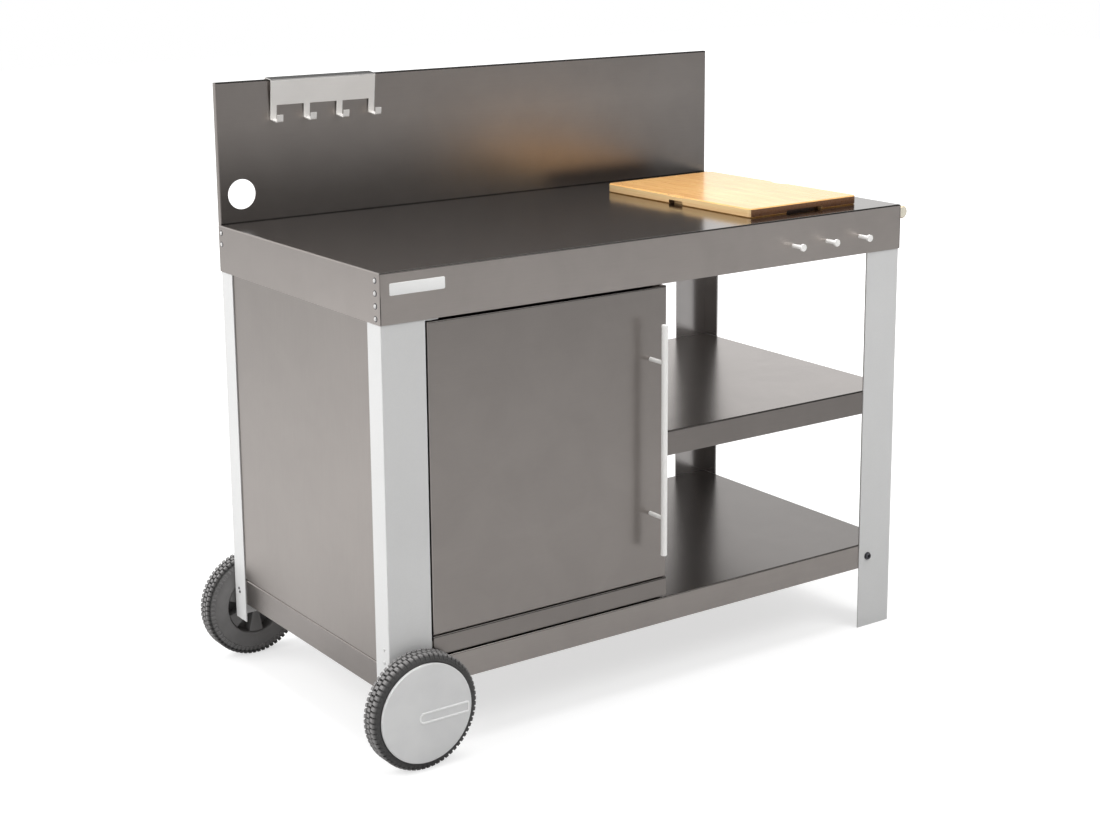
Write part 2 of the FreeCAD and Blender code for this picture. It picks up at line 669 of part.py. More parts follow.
def make_catch():
    """The magnetic catch on the divider and its striker in the door."""
    flange_left = "(Dims.divider_across - Dims.panel_depth)"
    front = f"({FACE} + Dims.door_depth + Dims.catch_gap + Dims.striker_sheet / 2)"
    behind = "(Dims.divider_setback + Dims.panel_sheet)"
    body = new_body("magnet_catch")
    foot_front = f"({behind} - {front})"
    foot_rear = f"({foot_front} + Dims.catch_foot_sheet)"
    wide = "Dims.catch_width"
    corners = [("0", "0"), (wide, "0"), (wide, foot_front), (f"{wide} + Dims.catch_foot", foot_front),
               (f"{wide} + Dims.catch_foot", foot_rear), (wide, foot_rear),
               (wide, "Dims.catch_depth"), ("0", "Dims.catch_depth")]
    pad(body, add_polygon(new_sketch(body, "XY_Plane"), corners), "Dims.catch_height")
    place(body, f"{flange_left} - {wide}", front, "Dims.catch_up")

    metal = "Dims.striker_sheet"
    skin = f"({FACE} + Dims.panel_sheet)"
    rise = f"({front} - Dims.catch_gap - {skin})"
    striker = new_body("catch_striker")
    foot = "Dims.striker_foot"
    end = f"({foot} - {metal} + Dims.striker_plate)"
    corners = [("0", "0"), (foot, "0"), (foot, f"{rise} - {metal}"), (end, f"{rise} - {metal}"),
               (end, rise), (f"{foot} - {metal}", rise), (f"{foot} - {metal}", metal), ("0", metal)]
    pad(striker, add_polygon(new_sketch(striker, "XY_Plane"), corners), "Dims.striker_height")
    low = "(Dims.catch_up + (Dims.catch_height - Dims.striker_height) / 2)"
    place(striker, f"{flange_left} - {wide} - {foot} + {metal}", skin, low)


def make_wheel(label, deep, facing):
    """A moulded wheel on the local z axis, its outer side upwards.

    Its tread has a flat for each lug of a row and for each gap, so that the rows stand staggered.
    """
    body = new_body(label)
    floor, width = f"({AXLE_UP} - Dims.lug_height)", "Dims.wheel_width"
    flat = "180 deg / Dims.lug_count"
    corner = f"{floor} / cos({flat} / 2)"
    turns = [f"({number} + 0.5) * {flat}" for number in range(int(value("2 * Dims.lug_count")))]
    rim = new_sketch(body, "XY_Plane")
    add_polygon(rim, [(f"{corner} * cos({turn})", f"{corner} * sin({turn})") for turn in turns])
    pad(body, rim, width)
    sides = (0, value(width))
    bevel_edges(body, "Dims.shoulder_width", lambda edge: any(lies_at(z=side)(edge) for side in sides))
    boss = new_sketch(body, "XY_Plane", "-Dims.boss_proud")
    add_circle(boss, "0", "0", "Dims.boss_diameter")
    pad(body, boss, "Dims.boss_proud")
    recess = new_sketch(body, "XY_Plane", width)
    add_circle(recess, "0", "0", "Dims.hub_recess")
    pocket(body, recess, "Dims.hub_recess_depth")

    hollow = new_sketch(body, "XY_Plane")
    inner, outer = "Dims.pocket_inner", "Dims.pocket_outer"
    narrow, broad = "Dims.pocket_half_inner", "Dims.pocket_half_outer"
    add_polygon(hollow, [(inner, f"-{narrow}"), (outer, f"-{broad}"), (outer, broad), (inner, narrow)])
    first = pocket(body, hollow, "Dims.pocket_depth", True)
    repeat_round(body, first, hollow, "Dims.spoke_count")

    for number in range(int(value("Dims.lug_rows"))):
        turn = f"{number % 2} * 180 deg / Dims.lug_count" if number % 2 else None
        row = new_sketch(body, "XY_Plane", f"Dims.shoulder_width + {number} * {LUG_ROW}", turn)
        half = "Dims.lug_length / 2"
        add_polygon(row, rectangle(f"{floor} - Dims.lug_height", f"-{half}", AXLE_UP, half))
        lug = pad(body, row, LUG_ROW)
        repeat_round(body, lug, row, "Dims.lug_count")

    bore = new_sketch(body, "XY_Plane", width)
    add_circle(bore, "0", "0", "Dims.axle_diameter + 2 * Dims.axle_clearance")
    pocket(body, bore, f"{width} + Dims.boss_proud")
    place(body, "Dims.axle_across", deep, AXLE_UP, facing)


def make_cap(label, deep, facing):
    """A plain disc on the local z axis, against the wheel's side and over its hub."""
    body = new_body(label)
    disc = new_sketch(body, "XY_Plane")
    add_circle(disc, "0", "0", "Dims.cap_diameter")
    pad(body, disc, "Dims.cap_depth")
    place(body, "Dims.axle_across", deep, AXLE_UP, facing)


def make_running_gear():
    rear_side = f"(Dims.worktop_depth - {WHEEL_SIDE})"
    make_wheel("wheel_front", WHEEL_SIDE, FRONT)
    make_wheel("wheel_rear", rear_side, REAR)
    make_cap("wheel_front_cap", f"{WHEEL_SIDE} - Dims.wheel_width", FRONT)
    make_cap("wheel_rear_cap", f"{rear_side} + Dims.wheel_width", REAR)

    side_play = "(Dims.wheel_gap - Dims.boss_proud - Dims.washer_thickness)"
    retainer_low = f"(Dims.wheel_width - Dims.hub_recess_depth + {side_play})"
    retainer_high = f"({retainer_low} + Dims.retainer_thickness)"
    axle_end = f"({retainer_high} + Dims.axle_proud)"
    axle = turned("axle", [("0", f"Dims.worktop_depth - 2 * {WHEEL_SIDE} + 2 * {axle_end}",
                            "Dims.axle_diameter")])
    keep("axle", place(axle, "Dims.axle_across", f"{rear_side} + {axle_end}", AXLE_UP, FRONT))

    washers, retainers = [], []
    washer_span = ("-Dims.wheel_gap", "-Dims.wheel_gap + Dims.washer_thickness")
    for side, facing in ((WHEEL_SIDE, FRONT), (rear_side, REAR)):
        ring = bored_ring("washer", *washer_span, "Dims.washer_diameter")
        washers.append(place(ring, "Dims.axle_across", side, AXLE_UP, facing))
        ring = bored_ring("retainer", retainer_low, retainer_high, "Dims.retainer_diameter")
        retainers.append(place(ring, "Dims.axle_across", side, AXLE_UP, facing))
    group("axle_washers", washers)
    group("axle_retainers", retainers)


def bored_ring(name, low, high, diameter):
    """A plain ring that fits the axle."""
    blank = turned(name, [(low, high, diameter)])
    hole = turned(name + "_bore", [(f"{low} - 1", f"{high} + 1", hole_for("Dims.axle_diameter"))])
    return cut(name + "_bored", blank, hole)


def make_tow_handle():
    across = "(Dims.worktop_width + Dims.tow_gap + Dims.tow_diameter / 2)"
    up = "(Dims.worktop_height - Dims.tow_drop)"
    length = "(Dims.worktop_depth - 2 * Dims.tow_inset)"
    body = new_body("tow_handle")
    sketch = new_sketch(body, "XZ_Plane")
    add_circle(sketch, "0", "0", "Dims.tow_diameter")
    pad(body, sketch, length, backwards=True)
    ends = (0, value(length))
    bevel_edges(body, "Dims.tow_edge", lambda edge: any(lies_at(y=end)(edge) for end in ends))
    place(body, across, "Dims.tow_inset", up)

    standoffs = []
    reach = "(Dims.tow_gap + Dims.tow_diameter / 2)"
    for deep in standoff_deeps():
        post = turned("standoff", [("0", reach, "Dims.standoff_diameter")])
        bar = cross_bar("standoff", "Dims.tow_diameter", reach, Rotation(Vector(0, 1, 0), 90))
        standoffs.append(place(cut("standoff_coped", post, bar), "Dims.worktop_width", deep, up, RIGHT))
    group("tow_standoffs", standoffs)


def make_pegs():
    up = "Dims.worktop_height - Dims.peg_drop"
    neck = "Dims.peg_length - Dims.peg_head_thickness"
    pegs = []
    for across in peg_places():
        stem, head = ("0", neck, "Dims.peg_diameter"), (neck, "Dims.peg_length", "Dims.peg_head")
        pegs.append(place(turned("peg", [stem, head]), across, "0", up, FRONT))
    group("pegs", pegs)


def make_hook_rail():
    """A bent strip that hangs on the backsplash's top edge; its origin is its top front edge."""
    metal = "Dims.hook_sheet"
    body = new_body("hook_rail")
    lip = "Dims.hook_flange"
    corners = [("0", "0"), (lip, "0"), (lip, "-Dims.hook_lip"), (f"{lip} - {metal}", "-Dims.hook_lip"),
               (f"{lip} - {metal}", f"-{metal}"), (metal, f"-{metal}"), (metal, "-Dims.hook_plate"),
               ("0", "-Dims.hook_plate")]
    pad(body, add_polygon(new_sketch(body, "YZ_Plane"), corners), "Dims.hook_rail_width")
    thick, far = value(metal), value(lip)
    for deep in (0, far):
        round_edges(body, f"{metal} + Dims.bend_inside", lies_at(y=deep, z=0))
    for deep in (thick, far - thick):
        round_edges(body, "Dims.bend_inside", lies_at(y=deep, z=-thick))

    reach = "(Dims.hook_reach - Dims.hook_sheet)"
    drop = "Dims.hook_drop"
    hook = add_polygon(new_sketch(body, "YZ_Plane"), [
        ("0", "-Dims.hook_plate"), (metal, "-Dims.hook_plate"), (metal, f"-{drop}"),
        (f"-{reach}", f"-{drop}"), (f"-{reach}", f"-{drop} + Dims.hook_rise"),
        (f"-{reach} + {metal}", f"-{drop} + Dims.hook_rise"), (f"-{reach} + {metal}", f"-{drop} + {metal}"),
        ("0", f"-{drop} + {metal}")])
    first = pad(body, hook, "Dims.hook_width")
    row = body.newObject("PartDesign::LinearPattern", "row")
    row.Originals = [first]
    across = next(item for item in body.Origin.OriginFeatures if item.Role == "X_Axis")
    row.Direction = (across, [""])
    row.setExpression("Length", "Dims.hook_rail_width - Dims.hook_width")
    row.setExpression("Occurrences", "Dims.hook_count")
    body.Tip = row
    low, front = -value(drop), -value(reach)
    round_edges(body, f"{metal} + Dims.bend_inside",
                lambda edge: lies_at(y=thick, z=low)(edge) or lies_at(y=front, z=low)(edge))

    lean = "Dims.hook_tilt * 1 deg"
    bend = "(Dims.hook_sheet + Dims.bend_inside)"
    deep = (f"(Dims.worktop_depth - Dims.hook_seat - {metal} * cos({lean})"
            f" - ({drop} - {bend}) * sin({lean}))")
    along = f"((Dims.worktop_depth - {deep} - {metal} * sin({lean})) / cos({lean}))"
    up = (f"Dims.worktop_height + Dims.splash_rise - {along} * sin({lean})"
          f" + {metal} * cos({lean})")
    place(body, "Dims.hook_rail_across", deep, up, Rotation(Vector(1, 0, 0), 1))
    body.setExpression("Placement.Rotation.Angle", lean)


def make_board():
    """The loose board, its centre over the local z axis."""
    body = new_body("cutting_board")
    half_wide, half_long = "Dims.board_width / 2", "Dims.board_length / 2"
    outline = new_sketch(body, "XY_Plane")
    add_polygon(outline, rectangle(f"-{half_wide}", f"-{half_long}", half_wide, half_long))
    pad(body, outline, "Dims.board_thickness")
    wide, long, thick = value(half_wide), value(half_long), value("Dims.board_thickness")
    corners = [(x, y) for x in (-wide, wide) for y in (-long, long)]
    round_edges(body, "Dims.board_corner", lambda edge: any(lies_at(x=x, y=y)(edge) for x, y in corners))
    bevel_edges(body, "Dims.board_edge", lambda edge: lies_at(z=0)(edge) or lies_at(z=thick)(edge))

    slot, groove = "Dims.board_slot_length / 2", "Dims.board_groove_length / 2"
    side_slots = new_sketch(body, "XY_Plane")
    for inner, outer in ((f"{half_wide} - Dims.board_slot_depth", f"{half_wide} + 1"),
                         (f"-({half_wide} + 1)", f"-({half_wide} - Dims.board_slot_depth)")):
        add_polygon(side_slots, rectangle(inner, f"-{slot}", outer, slot))
    pocket(body, side_slots, "Dims.board_slot_height", True)
    end_grooves = new_sketch(body, "XY_Plane")
    for inner, outer in ((f"{half_long} - Dims.board_groove_depth", f"{half_long} + 1"),
                         (f"-({half_long} + 1)", f"-({half_long} - Dims.board_groove_depth)")):
        add_polygon(end_grooves, rectangle(f"-{groove}", inner, groove, outer))
    pocket(body, end_grooves, "Dims.board_groove_height", True)

    scoops = new_sketch(body, "XY_Plane", "Dims.board_thickness")
    chord, depth = "(Dims.board_scoop_length / 2)", "Dims.board_scoop_width"
    radius = f"({chord} * {chord} / (2 * {depth}) + {depth} / 2)"
    for sign in ("", "-"):
        centre = f"{sign}({half_wide} - {depth} + {radius})"
        add_circle(scoops, centre, "0", f"2 * {radius}")
    pocket(body, scoops, "Dims.board_scoop_depth")
    place(body, "Dims.board_across", "Dims.board_deep", "Dims.worktop_height",
          Rotation(Vector(0, 0, 1), 1))
    body.setExpression("Placement.Rotation.Angle", "Dims.board_turn * 1 deg")


def check_and_export():
    doc.recompute()
    failed = [item.Label for item in doc.Objects if {"Invalid", "Error"} & set(item.State)]
    if failed:
        raise RuntimeError(f"failed objects: {failed}")
    for label, thing in subparts.items():
        if thing.Shape.isNull() or not thing.Shape.isValid():
            raise RuntimeError(f"{label} has no valid shape")
    os.makedirs("parts", exist_ok=True)
    for label, thing in subparts.items():
        thing.Shape.exportStep(f"parts/{label}.step")
    print(f"{len(subparts)} sub-parts written")


make_worktop()
make_backsplash()
make_legs()
make_shelves()
make_uprights()
make_cabinet()
make_sill()
make_door()
make_handle()
make_hinge()
make_catch()
make_running_gear()
make_tow_handle()
make_pegs()
make_hook_rail()
make_board()
check_and_export()
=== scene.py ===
import math

import bmesh
import bpy
from mathutils import Matrix, Vector


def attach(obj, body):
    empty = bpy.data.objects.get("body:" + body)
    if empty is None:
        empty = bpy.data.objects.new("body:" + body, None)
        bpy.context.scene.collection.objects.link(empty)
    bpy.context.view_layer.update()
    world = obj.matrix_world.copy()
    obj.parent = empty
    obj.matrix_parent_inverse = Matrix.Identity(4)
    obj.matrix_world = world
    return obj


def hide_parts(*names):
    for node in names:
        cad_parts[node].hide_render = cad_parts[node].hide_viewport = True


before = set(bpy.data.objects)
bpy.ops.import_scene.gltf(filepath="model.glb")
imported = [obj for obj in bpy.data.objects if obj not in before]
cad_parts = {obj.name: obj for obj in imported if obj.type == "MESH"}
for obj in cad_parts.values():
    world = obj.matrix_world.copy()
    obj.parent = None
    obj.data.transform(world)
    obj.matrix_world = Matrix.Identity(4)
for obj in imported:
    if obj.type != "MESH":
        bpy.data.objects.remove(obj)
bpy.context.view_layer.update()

# The cart's layout has its origin at the worktop's front left corner, on the floor, in millimetres.
LAYOUT_ORIGIN = Vector((599.75, 304.0, 0.0))
WORKTOP_WIDTH, WORKTOP_DEPTH, WORKTOP_TOP = 1200.0, 608.0, 877.0
FRONT_FACE = 0.0
LEG_FACE = 1.5
WHEEL_ACROSS, WHEEL_UP = 47.5, 105.0
FRONT_WHEEL_SIDE = -41.0
REAR_WHEEL_SIDE = WORKTOP_DEPTH - FRONT_WHEEL_SIDE
TYRE_RADIUS, FLOOR_RADIUS = 105.0, 100.6
CAP_FACE = 5.4

LEFT_RIGHT, FRONT_BACK, UPRIGHT = 0, 1, 2


def at(across, deep, up):
    """A place on the cart, in metres in the frame of the model."""
    return (Vector((across, deep, up)) - LAYOUT_ORIGIN) / 1000.0


# Shader nodes

class Graph:
    """Short forms for shader nodes. A number, a colour or another node's output feeds a socket."""

    def __init__(self, tree):
        self.nodes = tree.nodes
        self.links = tree.links

    def feed(self, socket, given):
        if isinstance(given, (int, float)):
            socket.default_value = given
        elif isinstance(given, tuple):
            socket.default_value = (*given, 1.0)
        else:
            self.links.new(given, socket)

    def coordinates(self, kind):
        return self.nodes.new("ShaderNodeTexCoord").outputs[kind]

    def axes(self, vector):
        split = self.nodes.new("ShaderNodeSeparateXYZ")
        self.links.new(vector, split.inputs[0])
        return split.outputs

    def math(self, operation, first, second=0.0):
        node = self.nodes.new("ShaderNodeMath")
        node.operation = operation
        self.feed(node.inputs[0], first)
        self.feed(node.inputs[1], second)
        return node.outputs[0]

    def spread(self, given, low, high, from_low=0.35, from_high=0.65, smooth=False):
        """A level that is low up to from_low and high beyond from_high."""
        node = self.nodes.new("ShaderNodeMapRange")
        if smooth:
            node.interpolation_type = "SMOOTHSTEP"
        self.links.new(given, node.inputs["Value"])
        node.inputs["From Min"].default_value = from_low
        node.inputs["From Max"].default_value = from_high
        node.inputs["To Min"].default_value = low
        node.inputs["To Max"].default_value = high
        return node.outputs["Result"]

    def between(self, factor, first, second):
        """A number that goes from the first to the second as the factor goes from 0 to 1."""
        node = self.nodes.new("ShaderNodeMix")
        self.feed(node.inputs[0], factor)
        self.feed(node.inputs[2], first)
        self.feed(node.inputs[3], second)
        return node.outputs[0]


class Finish(Graph):
    """One procedural material. Sizes are real, in metres, in the object's own coordinates."""

    def __init__(self, name, **sockets):
        self.material = bpy.data.materials.new(name)
        self.material.use_nodes = True
        super().__init__(self.material.node_tree)
        self.shader = self.nodes["Principled BSDF"]
        for socket, number in sockets.items():
            self.shader.inputs[socket.replace("_", " ")].default_value = number
        self.place = self.coordinates("Object")
        self.last_bump = None

    def turned(self, degrees, stretch=(1.0, 1.0, 1.0)):
        """Coordinates turned about Z, then stretched."""
        spin = self.nodes.new("ShaderNodeMapping")
        self.links.new(self.place, spin.inputs["Vector"])
        spin.inputs["Rotation"].default_value = (0.0, 0.0, math.radians(degrees))
        drawn = self.nodes.new("ShaderNodeMapping")
        self.links.new(spin.outputs[0], drawn.inputs["Vector"])
        drawn.inputs["Scale"].default_value = stretch
        return drawn.outputs[0]

    def noise(self, size, detail=2.0, stretch=(1.0, 1.0, 1.0), rough=0.5, turn=0.0, distort=0.0):
        """Noise whose features are about this size; a stretch below one draws them out."""
        texture = self.nodes.new("ShaderNodeTexNoise")
        self.links.new(self.turned(turn, stretch), texture.inputs["Vector"])
        texture.inputs["Scale"].default_value = 1.0 / size
        texture.inputs["Detail"].default_value = detail
        texture.inputs["Roughness"].default_value = rough
        texture.inputs["Distortion"].default_value = distort
        return texture.outputs[0]

    def blend(self, factor, first, second, mode="MIX"):
        """A mix of two colours."""
        node = self.nodes.new("ShaderNodeMix")
        node.data_type = "RGBA"
        node.blend_type = mode
        self.feed(node.inputs[0], factor)
        self.feed(node.inputs[6], first)
        self.feed(node.inputs[7], second)
        return node.outputs[2]

    def ramp(self, given, dark, middle, light):
        """Three tones along a value, at 0, a half and 1."""
        node = self.nodes.new("ShaderNodeValToRGB")
        self.links.new(given, node.inputs[0])
        band = node.color_ramp
        band.elements.new(0.5)
        for element, where, tone in zip(band.elements, (0.0, 0.5, 1.0), (dark, middle, light)):
            element.position = where
            element.color = (*tone, 1.0)
        return node.outputs[0]

    def normal_part(self, axis):
        """How far the surface faces along one axis, from -1 to 1."""
        return self.axes(self.coordinates("Normal"))[axis]

    def place_part(self, axis, degrees=0.0):
        return self.axes(self.turned(degrees))[axis]

    def towards(self, part, sign, limits):
        """1 where this part of the normal is past both limits on one side, and 0 before both."""
        low, high = limits
        if sign > 0:
            return self.spread(part, 0.0, 1.0, low, high)
        return self.spread(part, 1.0, 0.0, -high, -low)

    def lit(self, base, mask, level):
        """The colour, made this many times as light where the mask is 1; used to paint light and shade.
        """
        if level == 1.0:
            return base
        return self.blend(1.0, base, self.spread(mask, 1.0, level, 0.0, 1.0), "MULTIPLY")

    def bump(self, height, depth, strength=1.0):
        """Relief this deep, on top of any relief before it."""
        node = self.nodes.new("ShaderNodeBump")
        node.inputs["Strength"].default_value = strength
        node.inputs["Distance"].default_value = depth
        self.links.new(height, node.inputs["Height"])
        if self.last_bump:
            self.links.new(self.last_bump, node.inputs["Normal"])
        self.last_bump = node.outputs[0]
        self.links.new(self.last_bump, self.shader.inputs["Normal"])

    def set(self, socket, output):
        self.links.new(output, self.shader.inputs[socket])


# Materials

FLAT = (0.75, 0.95)
BENT = (0.12, 0.22)
FLANGE_BLEND = 0.004
FINE_LINES = 0.0000005
STREAK = 0.015


def varied(tone, amount):
    """The tone made darker, and made lighter."""
    dark = tuple(part * (1.0 - amount) for part in tone)
    light = tuple(min(part * (1.0 + amount), 1.0) for part in tone)
    return dark, light


def steel(name, tone, roughness, along, mottle, metal=1.0, facing=(1.0, 1.0, 1.0), front_bend_shade=1.0,
          rear_bend_shade=1.0, line_depth=FINE_LINES, dull_front=0.0, dull_top=0.0, streak=1.0,
          flange_from=None, shade=()):
    """Rolled sheet: fine grain lines along one axis, faint mottling, and painted shade on the bends.

    The numbers in facing make the colour of the front, left and upper faces lighter or darker, and
    front_bend_shade and rear_bend_shade make the bends at the front and back of upper faces darker
    (painted shade). What is said of upper faces and bends holds only above flange_from. Each shade is
    painted shade, as (height, depth, level): the front face is that light up to the height, and as
    light as before from the depth above it.
    """
    finish = Finish(name, Metallic=metal)
    drawn = [1.0, 1.0, 1.0]
    drawn[along] = 0.02
    grain = finish.noise(0.0016, 3.0, tuple(drawn), 0.6)
    cloud = finish.noise(0.11, 4.0, rough=0.6, distort=0.4)
    marks = finish.noise(0.018, 3.0, rough=0.65)
    base = finish.blend(finish.spread(cloud, 0.0, 1.0), *varied(tone, mottle))
    lines = finish.spread(grain, 1.0 - STREAK * streak, 1.0 + STREAK * streak)
    base = finish.blend(1.0, base, lines, "MULTIPLY")

    across, deep, up = (finish.normal_part(axis) for axis in (LEFT_RIGHT, FRONT_BACK, UPRIGHT))
    front = finish.towards(deep, -1, FLAT)
    left = finish.towards(across, -1, FLAT)
    above = finish.towards(up, 1, FLAT)
    rising = finish.towards(up, 1, BENT)
    height = finish.place_part(UPRIGHT)
    if flange_from:
        flange = finish.spread(height, 0.0, 1.0, flange_from, flange_from + FLANGE_BLEND)
        above = finish.math("MULTIPLY", above, flange)
        rising = finish.math("MULTIPLY", rising, flange)
    # Painted shade: each shade darkens the front face up to its height, fading out over its depth.
    for start, depth, level in shade:
        painted_shade = finish.spread(height, 1.0 - level, 0.0, start, start + depth)
        left_over = finish.math("SUBTRACT", 1.0, finish.math("MULTIPLY", painted_shade, front))
        base = finish.blend(1.0, base, left_over, "MULTIPLY")
    # The facing levels make front, left and upper faces lighter or darker; on the sheet steels this is
    # painted light and shade.
    for mask, level in zip((front, left, above), facing):
        base = finish.lit(base, mask, level)
    # Painted shade: the bends at the front and back of upper faces are made darker.
    for sign, level in ((-1, front_bend_shade), (1, rear_bend_shade)):
        bend = finish.math("MULTIPLY", finish.towards(deep, sign, BENT), rising)
        base = finish.lit(base, bend, level)
    finish.set("Base Color", base)

    rough = finish.spread(marks, roughness - 0.006, roughness + 0.008)
    for mask, amount in ((front, dull_front), (finish.math("MAXIMUM", above, rising), dull_top)):
        if amount:
            rough = finish.math("ADD", rough, finish.math("MULTIPLY", mask, amount))
    finish.set("Roughness", rough)
    finish.bump(grain, line_depth)
    return finish.material


def powder_coat(name, tone):
    """Light grey paint with a fine orange peel."""
    finish = Finish(name, Coat_Weight=0.15, Coat_Roughness=0.25)
    cloud = finish.noise(0.16, 3.0)
    speck = finish.noise(0.0035, 2.0, rough=0.6)
    dark, _ = varied(tone, 0.03)
    base = finish.blend(finish.spread(cloud, 0.0, 1.0), dark, tone)
    base = finish.blend(finish.spread(speck, 0.0, 0.06), base, (0.55, 0.55, 0.54))
    finish.set("Base Color", base)
    finish.set("Roughness", finish.spread(speck, 0.38, 0.50))
    finish.bump(finish.noise(0.0022, 2.0), 0.00003, 0.7)
    return finish.material


def plastic(name, tone, roughness, grain_size=0.0009, grain_depth=0.00005, vary=0.16):
    """Moulded plastic with a fine grain and faint flow marks."""
    finish = Finish(name, Specular_IOR_Level=0.3)
    cloud = finish.noise(0.03, 3.0)
    grain = finish.noise(grain_size, 2.0, rough=0.6)
    finish.set("Base Color", finish.blend(finish.spread(cloud, 0.0, 1.0), *varied(tone, vary)))
    finish.set("Roughness", finish.spread(grain, roughness - 0.06, roughness + 0.06))
    finish.bump(grain, grain_depth, 0.6)
    return finish.material


# How far both wheels' outer sides are from the middle of the cart, in metres.
WHEEL_SIDE = abs(at(0.0, FRONT_WHEEL_SIDE, 0.0).y)


def tyre_plastic(name, tone):
    """Grained plastic with painted light and shade: full tone on the lug tops and the inner wall,
    darker in the gaps and on the outer wall.
    """
    finish = Finish(name, Specular_IOR_Level=0.3)
    across = finish.math("SUBTRACT", finish.place_part(LEFT_RIGHT), at(WHEEL_ACROSS, 0.0, 0.0).x)
    up = finish.math("SUBTRACT", finish.place_part(UPRIGHT), WHEEL_UP / 1000.0)
    squares = finish.math("ADD", finish.math("MULTIPLY", across, across),
                          finish.math("MULTIPLY", up, up))
    radius = finish.math("SQRT", squares)
    cloud = finish.noise(0.03, 3.0)
    grain = finish.noise(0.0009, 2.0, rough=0.6)
    dark, _ = varied(tone, 0.12)
    base = finish.blend(finish.spread(cloud, 0.0, 1.0), dark, tone)

    # Painted light and shade: the colour falls to 0.3 of the tone in the lug gaps and on the outer
    # wall; lug tops and the inner wall keep the full tone.
    gap, lug_top = FLOOR_RADIUS / 1000.0 + 0.0005, TYRE_RADIUS / 1000.0 - 0.0008
    lug_top_light = finish.spread(radius, 0.30, 1.0, gap, lug_top)
    away = finish.math("ABSOLUTE", finish.place_part(FRONT_BACK))
    inside = finish.spread(away, 1.0, 0.0, WHEEL_SIDE - 0.0065, WHEEL_SIDE - 0.0020)
    wall_end, tread_start = 0.0965, 0.0995
    wall = finish.math("MULTIPLY", inside, finish.spread(radius, 1.0, 0.0, wall_end, tread_start))
    light = finish.math("MAXIMUM", lug_top_light, wall)
    finish.set("Base Color", finish.blend(1.0, base, light, "MULTIPLY"))
    finish.set("Roughness", finish.spread(grain, 0.54, 0.66))
    finish.bump(grain, 0.00005, 0.6)
    return finish.material


def silver_cap(name):
    """Silver moulded plastic, satin, with a painted highlight: the raised outline is coloured lighter.
    """
    finish = Finish(name, Metallic=0.1, Specular_IOR_Level=0.5)
    cloud = finish.noise(0.07, 3.0)
    flake = finish.noise(0.0007, 2.0, rough=0.7)
    base = finish.blend(finish.spread(cloud, 0.0, 1.0), (0.73, 0.73, 0.73), (0.79, 0.79, 0.785))
    base = finish.blend(finish.spread(flake, 0.0, 0.25), base, (0.80, 0.80, 0.80))
    away = finish.math("ABSOLUTE", finish.place_part(FRONT_BACK))
    face = WHEEL_SIDE + CAP_FACE / 1000.0
    raised = finish.spread(away, 0.0, 1.0, face + 0.0004, face + 0.0010)
    # Painted highlight: near white on the raised outline.
    finish.set("Base Color", finish.blend(raised, base, (0.96, 0.96, 0.955)))
    finish.set("Roughness", finish.spread(cloud, 0.36, 0.44))
    finish.bump(flake, 0.00002, 0.5)
    return finish.material


BOARD_TURN = 1.4
STRIP = 0.021
ALONG_FIBRE = (1.0, 0.03, 1.0)


def bamboo_top(finish, fibre):
    """Strips side by side, each in its own tint."""
    across = finish.place_part(LEFT_RIGHT, -BOARD_TURN)
    strip = finish.math("FLOOR", finish.math("DIVIDE", across, STRIP))
    tint = finish.nodes.new("ShaderNodeTexWhiteNoise")
    tint.noise_dimensions = "1D"
    finish.links.new(strip, tint.inputs["W"])
    figure = finish.noise(0.030, 4.0, (1.0, 0.22, 1.0), 0.6, -BOARD_TURN, 0.6)
    tone = finish.math("ADD", finish.math("MULTIPLY", tint.outputs["Value"], 0.45),
                       finish.spread(figure, 0.0, 0.55, 0.3, 0.7))
    top = finish.ramp(tone, (0.76, 0.38, 0.115), (0.86, 0.47, 0.155), (0.93, 0.57, 0.205))
    return finish.blend(finish.spread(fibre, 0.0, 0.35, 0.45, 0.75), top, (0.36, 0.16, 0.05))


def bamboo_side(finish, height):
    """Two layers, the upper one lighter."""
    layer = finish.noise(0.003, 3.0, ALONG_FIBRE, 0.6, -BOARD_TURN)
    joint = finish.spread(height, 0.0, 1.0, 0.006, 0.014)
    side = finish.blend(joint, (0.84, 0.56, 0.28), (0.90, 0.66, 0.34))
    return finish.blend(finish.spread(layer, 0.0, 0.35, 0.45, 0.7), side, (0.66, 0.40, 0.17))


def bamboo_end(finish, height):
    """Dark end grain with pores, lighter in the upper layer."""
    pores = finish.noise(0.0016, 3.0, (1.0, 1.0, 1.0), 0.7)
    bands = finish.noise(0.012, 3.0, (0.25, 1.0, 1.0), 0.6)
    end = finish.blend(finish.spread(bands, 0.0, 1.0), (0.090, 0.036, 0.014), (0.14, 0.058, 0.022))
    end = finish.blend(finish.spread(height, 0.0, 1.0, 0.0055, 0.011), end, (0.19, 0.080, 0.028))
    return finish.blend(finish.spread(pores, 0.0, 0.6, 0.48, 0.7), end, (0.08, 0.032, 0.013))


def bamboo(name):
    """Glued bamboo strips along the board, two layers on the sides and end grain in front."""
    finish = Finish(name, Coat_Weight=0.6, Coat_Roughness=0.16, Coat_IOR=1.5, Specular_IOR_Level=0.5)
    fibre = finish.noise(0.0022, 4.0, ALONG_FIBRE, 0.6, -BOARD_TURN)
    height = finish.math("SUBTRACT", finish.place_part(UPRIGHT), WORKTOP_TOP / 1000.0)
    flat_part = finish.math("ABSOLUTE", finish.normal_part(UPRIGHT))
    end_part = finish.math("ABSOLUTE", finish.normal_part(FRONT_BACK))
    base = finish.blend(finish.math("GREATER_THAN", end_part, 0.8),
                        bamboo_side(finish, height), bamboo_end(finish, height))
    base = finish.blend(finish.math("GREATER_THAN", flat_part, 0.5), base, bamboo_top(finish, fibre))
    finish.set("Base Color", base)
    finish.set("Roughness", finish.spread(fibre, 0.24, 0.36))
    finish.bump(fibre, 0.00005, 0.5)
    return finish.material


